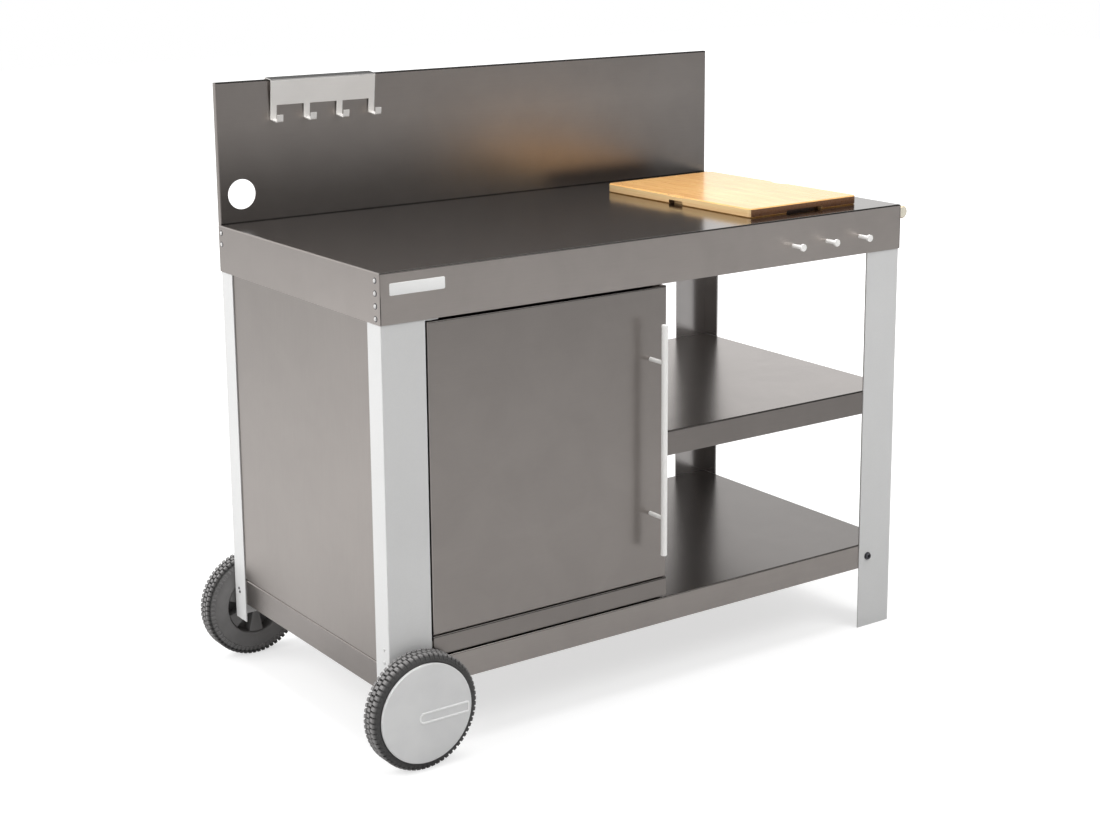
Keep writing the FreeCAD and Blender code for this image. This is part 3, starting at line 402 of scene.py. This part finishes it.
def pale_wood(name):
    """Turned pale hardwood, oiled, with end grain on the front end."""
    finish = Finish(name, Coat_Weight=0.3, Coat_Roughness=0.3)
    grain = finish.noise(0.004, 4.0, (1.0, 0.05, 1.0), 0.6, distort=0.3)
    rays = finish.noise(0.0012, 3.0, (1.0, 0.08, 1.0), 0.6)
    base = finish.ramp(finish.spread(grain, 0.0, 1.0),
                       (0.60, 0.43, 0.25), (0.72, 0.56, 0.36), (0.80, 0.66, 0.46))
    base = finish.blend(finish.spread(rays, 0.0, 0.3, 0.5, 0.7), base, (0.50, 0.34, 0.18))
    end = finish.towards(finish.normal_part(FRONT_BACK), -1, (0.7, 0.95))
    pores = finish.noise(0.0014, 3.0, (1.0, 1.0, 1.0), 0.7)
    end_tone = finish.blend(finish.spread(pores, 0.0, 1.0), (0.78, 0.72, 0.58), (0.86, 0.82, 0.70))
    finish.set("Base Color", finish.blend(end, base, end_tone))
    finish.set("Roughness", finish.spread(grain, 0.40, 0.55))
    finish.bump(rays, 0.00005, 0.6)
    return finish.material


SHEET_TONE = (0.445, 0.408, 0.385)
RAIL_TONE = (0.85, 0.83, 0.805)
# Near white: a painted reflection for the polished handle, posts, standoffs and pegs.
BRIGHT_TONE = (0.99, 0.975, 0.95)
UPRIGHT_TONE = (0.47, 0.45, 0.44)
ROUGH_LINES = 0.00001
# Painted shade: the backsplash's front face is painted darker near the worktop, and darkest where it
# meets it.
SPLASH_FOOT = WORKTOP_TOP / 1000.0 + 0.0005
SPLASH_SHADE = ((SPLASH_FOOT, 0.18, 0.62), (SPLASH_FOOT, 0.002, 0.25))

# Painted light and shade: the sheet steels share one tone and are lit and shaded copies of it.
# Their facing, bend and shade levels stand in for light and shade, except the backsplash's upper
# faces above 1.10 m, which are only made darker.
STEEL_FRONT = steel("steel_front", SHEET_TONE, roughness=0.28, along=LEFT_RIGHT, mottle=0.03,
                    facing=(0.72, 0.8, 0.8), front_bend_shade=0.2, line_depth=0.0000002, streak=0.5)
STEEL_SILL = steel("steel_sill", SHEET_TONE, roughness=0.28, along=LEFT_RIGHT, mottle=0.03,
                   facing=(0.62, 0.8, 0.8), front_bend_shade=0.2, streak=0.5)
STEEL_TOP = steel("steel_top", SHEET_TONE, roughness=0.15, along=LEFT_RIGHT, mottle=0.03,
                  facing=(1.05, 0.92, 0.55), front_bend_shade=0.12, rear_bend_shade=0.06, dull_front=0.20)
STEEL_SIDE = steel("steel_side", SHEET_TONE, roughness=0.30, along=UPRIGHT, mottle=0.02,
                   facing=(1.0, 0.78, 1.0))
STEEL_SPLASH = steel("steel_splash", SHEET_TONE, roughness=0.29, along=LEFT_RIGHT, mottle=0.03,
                     facing=(0.91, 0.9, 0.25), front_bend_shade=0.15, dull_top=0.4, flange_from=1.10,
                     shade=SPLASH_SHADE)
STEEL_SHELF = steel("steel_shelf", SHEET_TONE, roughness=0.25, along=LEFT_RIGHT, mottle=0.03,
                    facing=(0.58, 0.8, 0.92), front_bend_shade=0.2, dull_front=0.1)
STEEL_BASE = steel("steel_base", SHEET_TONE, roughness=0.26, along=LEFT_RIGHT, mottle=0.03,
                   facing=(0.87, 0.66, 0.47), front_bend_shade=0.4, dull_front=0.1)
# Hook rail: its front bend is painted shade; its upper faces above 1.13 m, the top flange, are made
# nearly black.
STEEL_RAIL = steel("steel_rail", RAIL_TONE, roughness=0.40, along=LEFT_RIGHT, mottle=0.02, metal=0.2,
                   facing=(1.0, 1.0, 0.07), front_bend_shade=0.35, dull_top=0.5, streak=0.4, flange_from=1.13)
# Painted reflection: polished steel made near white and not metallic, so its matte colour stands in for
# bright reflections.
STEEL_BRIGHT = steel("steel_bright", BRIGHT_TONE, roughness=0.26, along=UPRIGHT, mottle=0.01, metal=0.0)
STEEL_UPRIGHT = steel("steel_upright", UPRIGHT_TONE, roughness=0.22, along=UPRIGHT, mottle=0.03)
ZINC = steel("zinc_plate", (0.62, 0.62, 0.62), roughness=0.32, along=UPRIGHT, mottle=0.10,
             line_depth=ROUGH_LINES)
# Dark bolts and screws, and also the painted shade rings round the rivets.
DARK_BOLT_AND_SHADE = steel("dark_bolt_and_shade", (0.10, 0.10, 0.11), roughness=0.35, along=UPRIGHT, mottle=0.12,
                  line_depth=ROUGH_LINES)
RIVET_METAL = steel("rivet_metal", (0.72, 0.71, 0.70), roughness=0.30, along=UPRIGHT, mottle=0.06,
                    metal=0.3, line_depth=ROUGH_LINES)
LEG_PAINT = powder_coat("leg_paint", (0.72, 0.72, 0.715))
TYRE = tyre_plastic("wheel_plastic", (0.250, 0.244, 0.242))
NYLON = plastic("nylon", (0.66, 0.66, 0.63), roughness=0.42)
CAP = silver_cap("cap_silver")
BADGE = plastic("plate_white", (0.95, 0.95, 0.94), roughness=0.30, grain_size=0.0006,
                grain_depth=0.00001, vary=0.015)
# Near black, for the painted shade in the rim's corner joint.
SEAM_SHADE = plastic("seam_shade", (0.035, 0.032, 0.031), roughness=0.6)
BAMBOO = bamboo("bamboo")
PALE_WOOD = pale_wood("pale_wood")

NODE_FINISH = {
    "worktop": STEEL_TOP, "backsplash": STEEL_SPLASH, "side_panel": STEEL_SIDE, "divider": STEEL_SIDE,
    "cabinet_back": STEEL_FRONT, "door": STEEL_FRONT, "door_sill": STEEL_SILL,
    "bottom_shelf": STEEL_BASE, "middle_shelf": STEEL_SHELF, "hook_rail": STEEL_RAIL,
    "leg_front_left": LEG_PAINT, "leg_rear_left": LEG_PAINT,
    "leg_front_right": LEG_PAINT, "leg_rear_right": LEG_PAINT,
    "upright_front_lower": STEEL_UPRIGHT, "upright_front_upper": STEEL_UPRIGHT,
    "upright_rear_lower": STEEL_UPRIGHT, "upright_rear_upper": STEEL_UPRIGHT,
    "door_handle": STEEL_BRIGHT, "door_handle_posts": STEEL_BRIGHT,
    "tow_standoffs": STEEL_BRIGHT, "pegs": STEEL_BRIGHT,
    "hinge_pins": ZINC, "hinge_bracket": ZINC, "catch_striker": ZINC,
    "axle": ZINC, "axle_washers": ZINC, "axle_retainers": ZINC,
    "door_bushes": NYLON, "magnet_catch": NYLON,
    "wheel_front": TYRE, "wheel_rear": TYRE, "wheel_front_cap": CAP, "wheel_rear_cap": CAP,
    "tow_handle": PALE_WOOD, "cutting_board": BAMBOO,
}
for node_name, finish in NODE_FINISH.items():
    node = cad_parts[node_name]
    if not node.material_slots:
        node.data.materials.append(finish)
    for material_slot in node.material_slots:
        material_slot.material = finish


# Pieces

def make_piece(name, mesh, material, body, smooth_angle=None):
    """Turn a bmesh, drawn in metres in the model's frame, into a piece that rides on a body."""
    bmesh.ops.recalc_face_normals(mesh, faces=mesh.faces[:])
    data = bpy.data.meshes.new(name)
    mesh.to_mesh(data)
    mesh.free()
    piece = bpy.data.objects.new(name, data)
    bpy.context.scene.collection.objects.link(piece)
    data.materials.append(material)
    if smooth_angle is not None:
        data.shade_smooth()
        data.set_sharp_from_angle(angle=math.radians(smooth_angle))
    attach(piece, body)
    return piece


def ring(mesh, points):
    return [mesh.verts.new(point) for point in points]


def skin(mesh, rows):
    """Quads between each closed row of vertices and the next."""
    for first, second in zip(rows, rows[1:]):
        for index in range(len(first)):
            after = (index + 1) % len(first)
            mesh.faces.new((first[index], first[after], second[after], second[index]))


def rounded_outline(low, high, left_radius, right_radius, steps):
    """Points round a rectangle in (across, up), with a radius for each end's corners."""
    points = []
    corners = ((high[0] - right_radius, high[1] - right_radius, right_radius, 0.0),
               (low[0] + left_radius, high[1] - left_radius, left_radius, 90.0),
               (low[0] + left_radius, low[1] + left_radius, left_radius, 180.0),
               (high[0] - right_radius, low[1] + right_radius, right_radius, 270.0))
    for across, up, radius, start in corners:
        for step in range(steps + 1):
            angle = math.radians(start + 90.0 * step / steps)
            points.append((across + radius * math.cos(angle), up + radius * math.sin(angle)))
    return points


# Screw, rivet and bolt heads, and a flat dark ring of painted shade under each rivet,
# each from (radius, height) pairs in millimetres.
BUTTON = [(3.9, -0.2), (3.9, 0.5), (3.6, 1.1), (2.8, 1.8), (1.7, 2.3), (0.7, 2.45)]
BUTTON_SHADE_RING = [(5.3, -0.2), (5.3, 0.25), (4.4, 0.3)]
SCREW = [(3.3, -0.2), (3.3, 0.5), (2.9, 1.2), (2.0, 1.7), (1.4, 1.75), (1.2, 0.9)]
SMALL_SCREW = [(2.8, -0.2), (2.8, 0.5), (2.4, 1.1), (1.7, 1.4), (1.2, 1.4), (1.0, 0.7)]
SHELF_SCREW = [(5.0, -0.2), (5.0, 0.8), (4.5, 2.2), (3.0, 3.3), (2.0, 3.4), (1.8, 1.8)]
BOLT = [(8.0, -0.2), (8.0, 0.8), (7.6, 1.2), (6.6, 1.3), (6.4, 4.4), (5.8, 5.0), (3.2, 5.0), (3.0, 2.2)]
HEAD_SIDES = 20
HEAD_ANGLE = 40.0


def frame_of(facing):
    """Two directions across a face and the direction that it faces."""
    facing = Vector(facing)
    upward = Vector((0.0, 0.0, 1.0)) if abs(facing.z) < 0.9 else Vector((0.0, 1.0, 0.0))
    sideways = upward.cross(facing).normalized()
    return sideways, facing.cross(sideways), facing


def turned_head(mesh, place, facing, profile):
    """A head turned about its axis."""
    sideways, upward, outward = frame_of(facing)
    rows = []
    for radius, height in profile:
        row = []
        for step in range(HEAD_SIDES):
            angle = 2.0 * math.pi * step / HEAD_SIDES
            spoke = sideways * math.cos(angle) + upward * math.sin(angle)
            row.append(place + (spoke * radius + outward * height) / 1000.0)
        rows.append(ring(mesh, row))
    skin(mesh, rows)
    mesh.faces.new(rows[-1])


def heads(name, places, facing, profile, material):
    """One piece that holds a head at each place."""
    mesh = bmesh.new()
    for place in places:
        turned_head(mesh, place, facing, profile)
    make_piece(name, mesh, material, "cart", HEAD_ANGLE)


LEFT, RIGHT, FRONT, BACK = (-1, 0, 0), (1, 0, 0), (0, -1, 0), (0, 1, 0)

# Places in (depth, height) on the ends of the cart, and the leg bolts' place in (across, height).
RIVET_TOP = WORKTOP_TOP - 14.0
RIVET_PITCH = 21.7
FRONT_RIVETS = [(14.5, RIVET_TOP - RIVET_PITCH * step) for step in range(4)]
REAR_RIVETS = [(596.5, RIVET_TOP - RIVET_PITCH * step) for step in range(2)]
FRONT_LEG_SCREWS = [(18.5, 188.5), (18.5, 212.0)]
REAR_LEG_SCREWS = [(588.5, 154.3), (585.5, 147.6)]
SHELF_SCREWS = [(deep, up) for deep in (20.0, 588.0) for up in (152.0, 478.0)]
LEG_BOLT_ACROSS, LEG_BOLT_UP = 1135.0, 152.0

for side_name, across, facing in (("left", 0.0, LEFT), ("right", WORKTOP_WIDTH, RIGHT)):
    places = [at(across, deep, up) for deep, up in FRONT_RIVETS + REAR_RIVETS]
    heads("rim_rivets_" + side_name, places, facing, BUTTON, RIVET_METAL)
    # Painted shade: a flat dark ring under each rivet head stands in for the shade round it.
    heads("rim_rivet_shade_rings_" + side_name, places, facing, BUTTON_SHADE_RING, DARK_BOLT_AND_SHADE)

heads("panel_screws_front_leg", [at(LEG_FACE, deep, up) for deep, up in FRONT_LEG_SCREWS],
      LEFT, SCREW, LEG_PAINT)
heads("panel_screws_rear_leg", [at(LEG_FACE, deep, up) for deep, up in REAR_LEG_SCREWS],
      LEFT, SMALL_SCREW, DARK_BOLT_AND_SHADE)
heads("shelf_screws_right", [at(WORKTOP_WIDTH - LEG_FACE, deep, up) for deep, up in SHELF_SCREWS],
      RIGHT, SHELF_SCREW, DARK_BOLT_AND_SHADE)
heads("leg_bolt_front", [at(LEG_BOLT_ACROSS, LEG_FACE, LEG_BOLT_UP)], FRONT, BOLT, DARK_BOLT_AND_SHADE)
heads("leg_bolt_rear", [at(LEG_BOLT_ACROSS, WORKTOP_DEPTH - LEG_FACE, LEG_BOLT_UP)],
      BACK, BOLT, DARK_BOLT_AND_SHADE)

SEAM_ACROSS, SEAM_FOOT = 1.6, 0.2


def corner_seam():
    """The open joint of the rim's front left corner: a thin dark strip in the lower half, painted shade
    inside the joint.
    """
    mesh = bmesh.new()
    rows = []
    for up, half, proud in ((787.5, 0.25, 0.02), (790.0, 0.6, 0.08), (812.0, 0.7, 0.10),
                            (834.0, 0.55, 0.08), (838.5, 0.2, 0.02)):
        left, right = SEAM_ACROSS - half, SEAM_ACROSS + half
        foot, top = FRONT_FACE + SEAM_FOOT, FRONT_FACE - proud
        corners = ((left, foot), (left, top), (right, top), (right, foot))
        rows.append(ring(mesh, [at(across, deep, up) for across, deep in corners]))
    skin(mesh, rows)
    mesh.faces.new(rows[0])
    mesh.faces.new(rows[-1])
    make_piece("corner_seam", mesh, SEAM_SHADE, "cart")


BADGE_LOW, BADGE_HIGH, BADGE_CORNER = (19.0, 837.0), (127.5, 858.0), 2.6
BADGE_EDGE = [(0.0, 0.0), (0.0, 0.55), (0.12, 0.8), (0.4, 0.92)]


def badge_plate():
    """A bare white plate with rounded corners and a soft edge on the front rim."""
    mesh = bmesh.new()
    rows = []
    for inset, proud in BADGE_EDGE:
        low = (BADGE_LOW[0] + inset, BADGE_LOW[1] + inset)
        high = (BADGE_HIGH[0] - inset, BADGE_HIGH[1] - inset)
        outline = rounded_outline(low, high, BADGE_CORNER, BADGE_CORNER, 8)
        rows.append(ring(mesh, [at(across, FRONT_FACE - proud, up) for across, up in outline]))
    skin(mesh, rows)
    mesh.faces.new(rows[-1])
    make_piece("badge_plate", mesh, BADGE, "cart", 50.0)


corner_seam()
badge_plate()


# Wheels, in millimetres

WHEEL_WIDTH = 38.0
SHOULDER_START, INNER_SHOULDER = 3.0, 31.5
LINE_LOW, LINE_HIGH, LINE_TOP = 24.9, 26.2, TYRE_RADIUS - 1.2
HUB_RADIUS, HUB_FLOOR, HUB_TOP, AXLE_BORE = 13.0, 10.0, WHEEL_WIDTH + 1.0, 5.1
TYRE_SIDES, HUB_SIDES = 132, 40

SPOKES = 6
SPOKE_HUB_HALF, SPOKE_RIM_HALF = math.radians(26.0), math.radians(14.3)
SPOKE_START, SPOKE_END, SPOKE_BEVEL = 12.0, 59.0, 12.0
SPOKE_STEPS = (-1.0, -0.5, 0.0, 0.5, 1.0)

LUGS_ROUND = 66
PITCH = 2.0 * math.pi / LUGS_ROUND
LUG_FOOT, LUG_TOP = PITCH * 0.38, PITCH * 0.31
LUG_ROWS = ((3.4, 13.6, 0.0), (15.0, 24.4, 0.5), (26.6, 33.6, 0.0))
RIB_FOOT, RIB_TOP = PITCH * 0.36, PITCH * 0.25


class Wheel:
    """A wheel drawn in (radius, angle, depth), where depth runs from the outer side inwards."""

    def __init__(self, outer_side, inward):
        self.outer_side = outer_side
        self.inward = inward
        self.mesh = bmesh.new()

    def point(self, radius, angle, depth):
        across = WHEEL_ACROSS + radius * math.cos(angle)
        up = WHEEL_UP + radius * math.sin(angle)
        return at(across, self.outer_side + self.inward * depth, up)

    def lathe(self, profile, sides):
        """A surface turned from (radius, depth) pairs."""
        angles = [2.0 * math.pi * step / sides for step in range(sides)]
        rows = []
        for radius, depth in profile:
            rows.append(ring(self.mesh, [self.point(radius, angle, depth) for angle in angles]))
        skin(self.mesh, rows)
        return rows

    def block(self, middle, half_low, half_high, corners_low, corners_high):
        """A lug: its foot and its top, each as (radius, depth) at both ends."""
        loops = []
        for half, corners in ((half_low, corners_low), (half_high, corners_high)):
            (radius_a, depth_a), (radius_b, depth_b) = corners
            loops.append(ring(self.mesh, [self.point(radius_a, middle - half, depth_a),
                                          self.point(radius_a, middle + half, depth_a),
                                          self.point(radius_b, middle + half, depth_b),
                                          self.point(radius_b, middle - half, depth_b)]))
        skin(self.mesh, loops)
        self.mesh.faces.new(loops[1])


def spoke(wheel, middle):
    """A broad spoke on the inner side, narrower towards the rim, with a bevelled top."""
    loops = []
    for shrink, depth in ((0.0, HUB_FLOOR), (0.0, WHEEL_WIDTH - 3.6), (0.07, WHEEL_WIDTH - 2.8)):
        at_hub, at_rim = SPOKE_HUB_HALF * (1.0 - shrink), SPOKE_RIM_HALF * (1.0 - shrink)
        end = SPOKE_END - shrink * SPOKE_BEVEL
        corners = [wheel.point(SPOKE_START, middle + at_hub * step, depth) for step in SPOKE_STEPS]
        corners += [wheel.point(end, middle + at_rim * step, depth) for step in reversed(SPOKE_STEPS)]
        loops.append(ring(wheel.mesh, corners))
    skin(wheel.mesh, loops)
    wheel.mesh.faces.new(loops[-1])


def tread(wheel):
    """Three staggered rows of lugs, and ribs down both shoulders."""
    for start, end, offset in LUG_ROWS:
        foot = ((FLOOR_RADIUS - 0.4, start), (FLOOR_RADIUS - 0.4, end))
        top = ((TYRE_RADIUS, start + 0.8), (TYRE_RADIUS, end - 0.8))
        for number in range(LUGS_ROUND):
            wheel.block((number + offset) * PITCH, LUG_FOOT, LUG_TOP, foot, top)
    outer_foot = ((94.8, 0.3), (FLOOR_RADIUS, SHOULDER_START))
    outer_top = ((97.4, 0.05), (TYRE_RADIUS - 0.1, 3.8))
    inner_foot = ((88.4, WHEEL_WIDTH - 1.7), (FLOOR_RADIUS, INNER_SHOULDER))
    inner_top = ((89.6, WHEEL_WIDTH), (TYRE_RADIUS - 0.2, 33.6))
    for number in range(LUGS_ROUND):
        wheel.block(number * PITCH, LUG_FOOT, LUG_TOP, outer_foot, outer_top)
        wheel.block(number * PITCH, RIB_FOOT, RIB_TOP, inner_foot, inner_top)


def wheel_piece(name, outer_side, inward, node, body):
    """Tyre with its parting line, side walls, hub recess with spokes on the inner side."""
    wheel = Wheel(outer_side, inward)
    outer_wall = [(60.0, 3.0), (86.0, 3.0), (90.5, 0.9), (92.0, 0.2), (94.4, 0.2), (97.4, 0.9)]
    floor = [(FLOOR_RADIUS, SHOULDER_START), (FLOOR_RADIUS, LINE_LOW), (LINE_TOP, LINE_LOW + 0.3),
             (LINE_TOP, LINE_HIGH - 0.3), (FLOOR_RADIUS, LINE_HIGH), (FLOOR_RADIUS, INNER_SHOULDER)]
    inner_wall = [(96.0, 34.4), (89.4, WHEEL_WIDTH - 1.6), (87.6, WHEEL_WIDTH - 0.9),
                  (68.0, WHEEL_WIDTH - 0.9), (66.0, WHEEL_WIDTH - 0.1), (61.6, WHEEL_WIDTH),
                  (60.2, WHEEL_WIDTH - 1.2), (59.2, WHEEL_WIDTH - 8.0), (58.6, HUB_FLOOR),
                  (HUB_RADIUS, HUB_FLOOR)]
    wheel.lathe(outer_wall + floor + inner_wall, TYRE_SIDES)
    wheel.lathe([(HUB_RADIUS, HUB_FLOOR), (HUB_RADIUS, HUB_TOP - 0.4), (HUB_RADIUS - 0.4, HUB_TOP),
                 (AXLE_BORE, HUB_TOP), (AXLE_BORE, HUB_FLOOR)], HUB_SIDES)
    for number in range(SPOKES):
        spoke(wheel, math.radians(30.0 + 60.0 * number))
    tread(wheel)
    piece = make_piece(name, wheel.mesh, TYRE, body, 32.0)
    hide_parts(node)


CAP_RADIUS = 90.0
CAP_SIDES = 144
CAP_PROFILE = [(CAP_RADIUS, 0.0), (CAP_RADIUS, CAP_FACE - 1.6), (CAP_RADIUS - 0.5, CAP_FACE - 0.5),
               (CAP_RADIUS - 1.4, CAP_FACE - 0.05), (CAP_RADIUS - 3.0, CAP_FACE), (60.0, CAP_FACE),
               (20.0, CAP_FACE)]
PILL_LOW, PILL_HIGH = (-17.5, -17.2), (85.0, 4.4)
PILL_LEFT, PILL_RIGHT = 10.8, 5.5
# The raised outline across its width, as (inset, height above the face).
BEAD = [(0.0, -0.1), (0.5, 1.0), (1.4, 1.5), (2.8, 1.5), (3.7, 1.0), (4.2, -0.1)]


def cap_piece(name, wheel_side, outward, node, body, mirror):
    """A silver cap with a soft rim and the raised outline of a long pill."""
    wheel = Wheel(wheel_side, outward)
    rows = wheel.lathe(CAP_PROFILE, CAP_SIDES)
    wheel.mesh.faces.new(rows[-1])
    loops = []
    for inset, rise in BEAD:
        low = (PILL_LOW[0] + inset, PILL_LOW[1] + inset)
        high = (PILL_HIGH[0] - inset, PILL_HIGH[1] - inset)
        loop = []
        for across, up in rounded_outline(low, high, PILL_LEFT - inset, PILL_RIGHT - inset, 12):
            radius, angle = math.hypot(across, up), math.atan2(up, across * mirror)
            loop.append(wheel.point(radius, angle, CAP_FACE + rise))
        loops.append(ring(wheel.mesh, loop))
    skin(wheel.mesh, loops)
    piece = make_piece(name, wheel.mesh, CAP, body, 35.0)
    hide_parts(node)


wheel_piece("tyre_front", FRONT_WHEEL_SIDE, 1.0, "wheel_front", "front_wheel")
wheel_piece("tyre_rear", REAR_WHEEL_SIDE, -1.0, "wheel_rear", "rear_wheel")
cap_piece("cap_front", FRONT_WHEEL_SIDE, -1.0, "wheel_front_cap", "front_wheel", 1.0)
cap_piece("cap_rear", REAR_WHEEL_SIDE, 1.0, "wheel_rear_cap", "rear_wheel", -1.0)


# Studio, in metres

ROOM_FRONT, ROOM_LEFT = 0.22, 0.35
FLOOR_HALF = 14.0
FLOOR_TONE, FLOOR_WHITE, FLOOR_MIRRORED, FLOOR_RIGHT = 0.50, 0.62, 0.40, 0.45

CAMERA_PLACE = Vector((-2.14511, -3.01297, 1.47934))
CAMERA_YAW, CAMERA_PITCH = math.radians(34.888), math.radians(-11.858)
CAMERA_ROLL = math.radians(-0.455)
CAMERA_LENS, CAMERA_SENSOR, CAMERA_SHIFT = 62.816, 36.0, -0.10


def mirror_rays(graph, rays):
    """1 for a ray that a surface mirrors or lets through."""
    return graph.math("ADD", rays["Is Glossy Ray"], rays["Is Transmission Ray"])


def studio_world():
    """White for the camera. The room that lights the cart is bright behind and left, dim in front."""
    world = bpy.data.worlds.new("studio")
    bpy.context.scene.world = world
    world.use_nodes = True
    graph = Graph(world.node_tree)
    graph.nodes.clear()
    output = graph.nodes.new("ShaderNodeOutputWorld")
    background = graph.nodes.new("ShaderNodeBackground")
    background.inputs["Color"].default_value = (1.0, 1.0, 1.0, 1.0)
    across, deep, _ = graph.axes(graph.coordinates("Generated"))
    rays = graph.nodes.new("ShaderNodeLightPath").outputs

    behind = graph.spread(deep, ROOM_FRONT, 1.0, -0.45, 0.35, smooth=True)
    left = graph.spread(across, 0.0, ROOM_LEFT, 0.0, -0.9, smooth=True)
    room = graph.math("ADD", behind, left)
    room.node.use_clamp = True
    backdrop = graph.spread(deep, 0.0, 1.0, 0.0, 0.35, smooth=True)
    mirrored = graph.math("MULTIPLY", mirror_rays(graph, rays), backdrop)
    white = graph.math("MAXIMUM", rays["Is Camera Ray"], mirrored)
    graph.feed(background.inputs["Strength"], graph.between(white, room, 1.0))
    graph.feed(output.inputs["Surface"], background.outputs[0])


def floor_material():
    """Matte and pale, and white far away. Mirrors see it pale behind the cart and at its right."""
    material = bpy.data.materials.new("studio_floor")
    material.use_nodes = True
    graph = Graph(material.node_tree)
    graph.nodes.clear()
    output = graph.nodes.new("ShaderNodeOutputMaterial")
    matte = graph.nodes.new("ShaderNodeBsdfDiffuse")
    matte.inputs["Color"].default_value = (FLOOR_TONE, FLOOR_TONE, FLOOR_TONE, 1.0)
    glow = graph.nodes.new("ShaderNodeEmission")
    both = graph.nodes.new("ShaderNodeAddShader")
    place = graph.coordinates("Object")
    across, deep, _ = graph.axes(place)
    rays = graph.nodes.new("ShaderNodeLightPath").outputs

    behind = graph.spread(deep, 0.0, 1.0, -0.6, 0.8, smooth=True)
    right = graph.spread(across, 0.0, FLOOR_RIGHT, 1.3, 4.0, smooth=True)
    pale = graph.math("MAXIMUM", behind, right)
    mirrored = graph.math("MULTIPLY", mirror_rays(graph, rays), pale)
    mirrored = graph.math("MULTIPLY", mirrored, FLOOR_MIRRORED)
    near = graph.between(rays["Is Camera Ray"], mirrored, FLOOR_WHITE)
    reach = graph.nodes.new("ShaderNodeVectorMath")
    reach.operation = "LENGTH"
    graph.feed(reach.inputs[0], place)
    far = graph.spread(reach.outputs["Value"], 0.0, 1.0, 1.0, 2.4, smooth=True)
    white = graph.math("MULTIPLY", far, rays["Is Camera Ray"])
    graph.feed(glow.inputs["Strength"], graph.math("MAXIMUM", near, white))
    graph.feed(both.inputs[0], matte.outputs[0])
    graph.feed(both.inputs[1], glow.outputs[0])
    graph.feed(output.inputs["Surface"], both.outputs[0])
    return material


def studio_floor():
    """A large pale floor that keeps the soft shadow."""
    mesh = bmesh.new()
    corners = ((-FLOOR_HALF, -FLOOR_HALF), (FLOOR_HALF, -FLOOR_HALF),
               (FLOOR_HALF, FLOOR_HALF), (-FLOOR_HALF, FLOOR_HALF))
    mesh.faces.new(ring(mesh, [(x, y, 0.0) for x, y in corners]))
    data = bpy.data.meshes.new("studio_floor")
    mesh.to_mesh(data)
    mesh.free()
    data.materials.append(floor_material())
    floor = bpy.data.objects.new("studio_floor", data)
    bpy.context.scene.collection.objects.link(floor)


def lamp(name, place, aim, size, power, mirrored=True):
    """A soft rectangular lamp, which mirrors don't see unless it is mirrored."""
    light = bpy.data.lights.new(name, "AREA")
    light.shape = "RECTANGLE"
    light.size, light.size_y = size
    light.energy = power
    holder = bpy.data.objects.new(name, light)
    bpy.context.scene.collection.objects.link(holder)
    holder.visible_glossy = mirrored
    holder.location = place
    holder.rotation_euler = (Vector(aim) - Vector(place)).to_track_quat("-Z", "Y").to_euler()


def photo_camera():
    """The photograph's place and angle, from a fit of the cart's edges."""
    ahead = Vector((math.sin(CAMERA_YAW) * math.cos(CAMERA_PITCH),
                    math.cos(CAMERA_YAW) * math.cos(CAMERA_PITCH), math.sin(CAMERA_PITCH)))
    right = Vector((math.cos(CAMERA_YAW), -math.sin(CAMERA_YAW), 0.0))
    up = right.cross(ahead)
    axis_x = right * math.cos(CAMERA_ROLL) + up * math.sin(CAMERA_ROLL)
    axis_y = up * math.cos(CAMERA_ROLL) - right * math.sin(CAMERA_ROLL)
    turn = Matrix((axis_x, axis_y, -ahead)).transposed()
    data = bpy.data.cameras.new("photo_camera")
    data.sensor_width = CAMERA_SENSOR
    data.sensor_fit = "HORIZONTAL"
    data.lens = CAMERA_LENS
    data.shift_y = CAMERA_SHIFT
    data.clip_start, data.clip_end = 0.05, 60.0
    camera = bpy.data.objects.new("photo_camera", data)
    bpy.context.scene.collection.objects.link(camera)
    camera.matrix_world = Matrix.Translation(CAMERA_PLACE) @ turn.to_4x4()
    bpy.context.scene.camera = camera


studio_world()
studio_floor()
lamp("key_left", place=(-3.4, 0.9, 2.7), aim=(0.0, 0.0, 0.6), size=(2.6, 2.2), power=86.0,
     mirrored=False)
lamp("fill_front", place=(1.2, -3.0, 3.6), aim=(0.0, 0.0, 0.6), size=(3.0, 2.0), power=76.0)
lamp("overhead", place=(0.2, -0.2, 3.4), aim=(0.2, -0.2, 0.0), size=(2.4, 2.0), power=62.0,
     mirrored=False)
photo_camera()
bpy.context.scene.view_settings.view_transform = "Standard"
